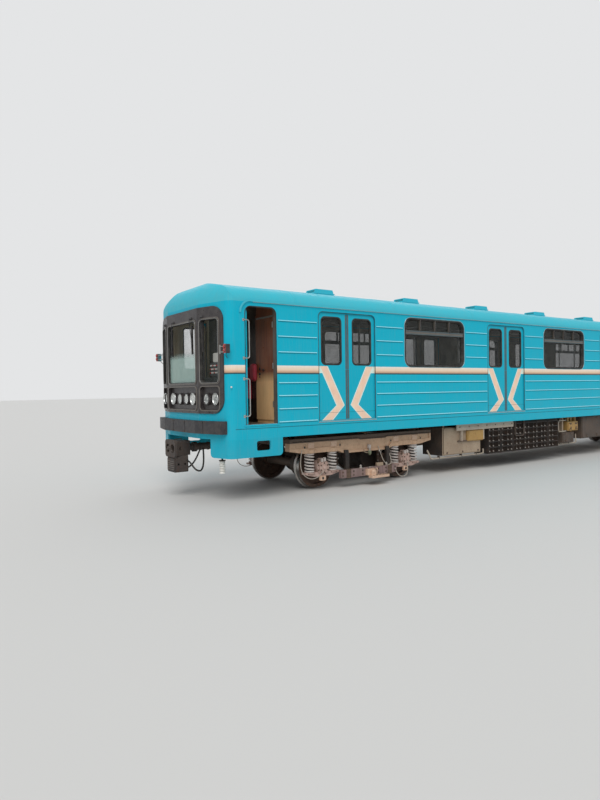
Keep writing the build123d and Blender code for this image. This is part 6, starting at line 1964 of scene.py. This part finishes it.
    def boxes(self, make: Builder) -> None:
        """Hinges and latches on every equipment box.

        Args:
            make: The piece.
        """
        p = self.palette
        for side, start, end, inset, low, high in self.doors:
            make.at((MID, side.value * (HALF_W - inset + 0.014), RAIL), (1, side.value, 1))
            left, right = start * self.half_length, end * self.half_length
            count = max(2, round((right - left) / 0.45))
            for i in range(count):
                x = left + (i + 0.5) * (right - left) / count
                make.box((x - 0.035, 0, high - 0.075), (x + 0.035, 0.012, high - 0.035), p.bolt, 0.003)
                make.lathe((x, 0.002, low + 0.06), Axis.Y, [(0.024, 0.0), (0.024, 0.01), (0.012, 0.016)], p.bolt, 14)
                make.box((x - 0.009, 0.008, low + 0.03), (x + 0.009, 0.02, low + 0.11), p.bolt, 0.002)
            corners = [(x, 0, z) for z in (low + 0.045, high - 0.045) for x in (left + 0.05, right - 0.05)]
            make.bolts(corners, Axis.Y, 0.01, 0.007, p.bolt)

    def pipes(self, make: Builder) -> None:
        """Air pipes and conduits along the underframe.

        Args:
            make: The piece.
        """
        p = self.palette
        make.at((MID, 0, 0))
        for y, z, radius in ((-0.86, 1.1, 0.02), (-0.8, 1.1, 0.014), (0.86, 1.1, 0.02), (0.78, 1.1, 0.014),
                             (0.3, 1.12, 0.016)):
            make.tube([(-4.25, y, z), (4.25, y, z)], radius, p.dark_gear, 10)
            for n in range(8):
                x, reach = -4.0 + n * 1.14, radius + 0.01
                make.box((x - 0.015, y - reach, z - radius - 0.004), (x + 0.015, y + reach, 1.165), p.frame, 0.003)
        for x, side in ((-2.85, Side.NEAR), (-0.75, Side.FAR), (1.45, Side.NEAR)):
            make.at((MID + x, 0, 0), (1, side.value, 1))
            make.tube([(0, 0, 0.8), (0, 0.25, 0.8), (0.05, 0.4, 0.84), (0.05, 0.7, 1.0), (0.05, 0.8, 1.085)], 0.012,
                      p.gear)

    def build(self) -> None:
        """Builds the underfloor details."""
        self.grids()
        self.insulators()
        make = Builder("underfloor_fittings")
        self.near_frames(make)
        self.boxes(make)
        self.pipes(make)
        make.build("car_body", "gear_paint")


@dataclass
class CouplerDressing:
    """Bolts, lever, contacts and hoses of one coupler, in a frame whose X runs back from its face."""

    palette: Palette
    end: str
    face: float
    out: int
    axis_z: float = 0.83
    hose_route: tuple[Point, ...] = ((0.24, 0.168, 0.62), (0.25, 0.26, 0.6), (0.33, 0.31, 0.45), (0.47, 0.27, 0.42),
                                     (0.57, 0.15, 0.6), (0.6, 0.055, 0.79))

    def build(self) -> None:
        """Builds the coupler's dressing and its hoses."""
        p, z = self.palette, self.axis_z
        make = Builder(f"coupler_fittings_{self.end}").at((self.face, 0, RAIL), (-self.out, 1, 1))
        make.bolts([(0.0465, y, z + b) for y in (-0.175, 0.175) for b in (-0.115, 0.115)], Axis.X, 0.013, 0.01, p.bolt)
        for y in (-0.1008, 0.1008):
            make.lathe((0, y, z), Axis.X, [(0.09, 0.001), (0.088, 0.0002), (0.077, 0.0002), (0.076, 0.02)], p.worn, 28,
                       caps=False)
        for rise, radius, bore in ((0.095, 0.03, 0.018), (-0.095, 0.024, 0.013)):
            make.lathe((0, 0, z + rise), Axis.X, [(radius, 0.03), (radius, 0.003), (bore, 0.001)], p.rubber, 18)
        make.tube([(0.16, 0.16, z + 0.1), (0.16, 0.25, z + 0.11), (0.22, 0.27, z + 0.13), (0.34, 0.27, z + 0.13)],
                  0.011, p.worn, 8)
        for row in range(5):
            for col in range(9):
                make.lathe((0.01, -0.12 + col * 0.03, 0.47 + row * 0.034), Axis.X,
                           [(0.007, 0.0), (0.007, -0.004), (0.003, -0.006)], p.worn, 8)
        make.bolts([(x, y, 0.56) for x in (0.08, 0.2) for y in (-0.17, 0.17)], Axis.Y, 0.012, 0.012, p.bolt)
        make.at((self.face, 0, RAIL + z))
        for back in (0.55, 0.7):
            make.lathe((-self.out * back, 0, 0), Axis.X, [(0.068, 0.0), (0.072, 0.006), (0.072, 0.034), (0.068, 0.04)],
                       p.coupler, 24)
        body = f"coupler_{self.end}"
        make.build(body, "coupler_iron")
        for side in Side:
            points = [(self.face - self.out * x, side.value * y, RAIL + up) for x, y, up in self.hose_route]
            hose(f"{body}_hose_{side.word}", body, points, 0.03, p.hose)


@dataclass
class Studio:
    """Floor, light and camera."""

    reach: float = 160.0
    eye: Point = (-13.818, -9.773, 1.848)
    angles: Point = (34.994, -1.033, -0.84)
    lens: float = 26.96

    def floor(self) -> None:
        """A wide pale floor."""
        mesh = bpy.data.meshes.new("studio_floor")
        corners = [(x * self.reach, y * self.reach, 0) for x, y in ((-1, -1), (1, -1), (1, 1), (-1, 1))]
        mesh.from_pydata(corners, [], [(0, 1, 2, 3)])
        obj = bpy.data.objects.new("studio_floor", mesh)
        bpy.context.scene.collection.objects.link(obj)
        shader = Shader("studio_floor")
        shader.set(Base_Color=linear(212, 211, 208), Roughness=0.85)
        mesh.materials.append(shader.material)

    def world(self) -> None:
        """Pale surroundings, seen as they are and lighting the car softly."""
        world = bpy.data.worlds.new("studio_world")
        bpy.context.scene.world = world
        world.use_nodes = True
        tree = world.node_tree
        tree.nodes.clear()
        out, glow, seen, paths, either, mix = (tree.nodes.new(f"ShaderNode{kind}") for kind in (
            "OutputWorld", "Background", "Background", "LightPath", "Math", "MixShader"))
        glow.inputs[0].default_value = (0.93, 0.96, 1.0, 1)
        glow.inputs[1].default_value = 0.55
        seen.inputs[0].default_value = (*linear(228, 229, 230), 1)
        seen.inputs[1].default_value = 1.0
        either.operation = "MAXIMUM"
        for source, socket in ((paths.outputs["Is Camera Ray"], either.inputs[0]),
                               (paths.outputs["Is Transmission Ray"], either.inputs[1]),
                               (either.outputs[0], mix.inputs[0]), (glow.outputs[0], mix.inputs[1]),
                               (seen.outputs[0], mix.inputs[2]), (mix.outputs[0], out.inputs[0])):
            tree.links.new(source, socket)

    def sun(self, name: str, toward: Point, strength: float, spread: float, color: Rgb) -> None:
        """Adds a soft lamp so far away that it lights floor and car evenly.

        Args:
            name: The lamp's name.
            toward: Direction from the car to the lamp.
            strength: Its strength.
            spread: Its width seen from the car, in degrees.
            color: Its colour.
        """
        data = bpy.data.lights.new(name, "SUN")
        data.energy = strength
        data.angle = math.radians(spread)
        data.color = color
        obj = bpy.data.objects.new(name, data)
        bpy.context.scene.collection.objects.link(obj)
        obj.rotation_mode = "QUATERNION"
        obj.rotation_quaternion = Vector(toward).to_track_quat("Z", "Y")

    def camera(self) -> None:
        """The camera at the photograph's place and angle."""
        yaw, pitch, roll = (math.radians(a) for a in self.angles)
        ahead = Vector((math.sin(yaw) * math.cos(pitch), math.cos(yaw) * math.cos(pitch), math.sin(pitch)))
        right = Vector((math.cos(yaw), -math.sin(yaw), 0))
        up = right.cross(ahead)
        right, up = right * math.cos(roll) + up * math.sin(roll), up * math.cos(roll) - right * math.sin(roll)
        data = bpy.data.cameras.new("camera")
        data.lens = self.lens
        data.sensor_width = 36
        data.clip_end = 500
        obj = bpy.data.objects.new("camera", data)
        bpy.context.scene.collection.objects.link(obj)
        frame = Matrix((right, up, -ahead)).transposed().to_4x4()
        frame.translation = self.eye
        obj.matrix_world = frame
        bpy.context.scene.camera = obj

    def build(self) -> None:
        """Builds the floor and the light."""
        self.floor()
        self.world()
        self.sun("key", (-0.55, -0.75, 1.0), 1.5, 40, (1.0, 0.985, 0.96))
        self.sun("back", (0.5, 0.8, 1.0), 0.5, 60, (0.97, 0.98, 1.0))
        bpy.context.scene.view_settings.view_transform = "Standard"


def main() -> None:
    """Builds the car's dressing in order, with the camera and the cords first."""
    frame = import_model()
    palette, studio = Palette(), Studio()
    studio.camera()
    bogies = [BogieDressing(palette, end) for end in BOGIE_XS]
    for bogie in bogies:
        bogie.cables()
    CouplerDressing(palette, "front", MID - 9.85, -1).build()
    CouplerDressing(palette, "rear", MID + 9.62, 1).build()
    CadSkin(palette, frame["nodes"]).dress()
    for side in Side:
        SideTrim(palette, side).build()
    for number in range(1, 5):
        for side in Side:
            for hand in (-1, 1):
                DoorLeaf(palette, number, side, hand).build()
    for piece in (NoseLamps, Nose, Cab, Saloon, Roof, RearEnd):
        piece(palette).build()
    for bogie in bogies:
        bogie.build()
    Underfloor(palette).build()
    studio.build()


if __name__ == "__main__":
    logging.basicConfig(level=logging.INFO, format="%(message)s")
    main()
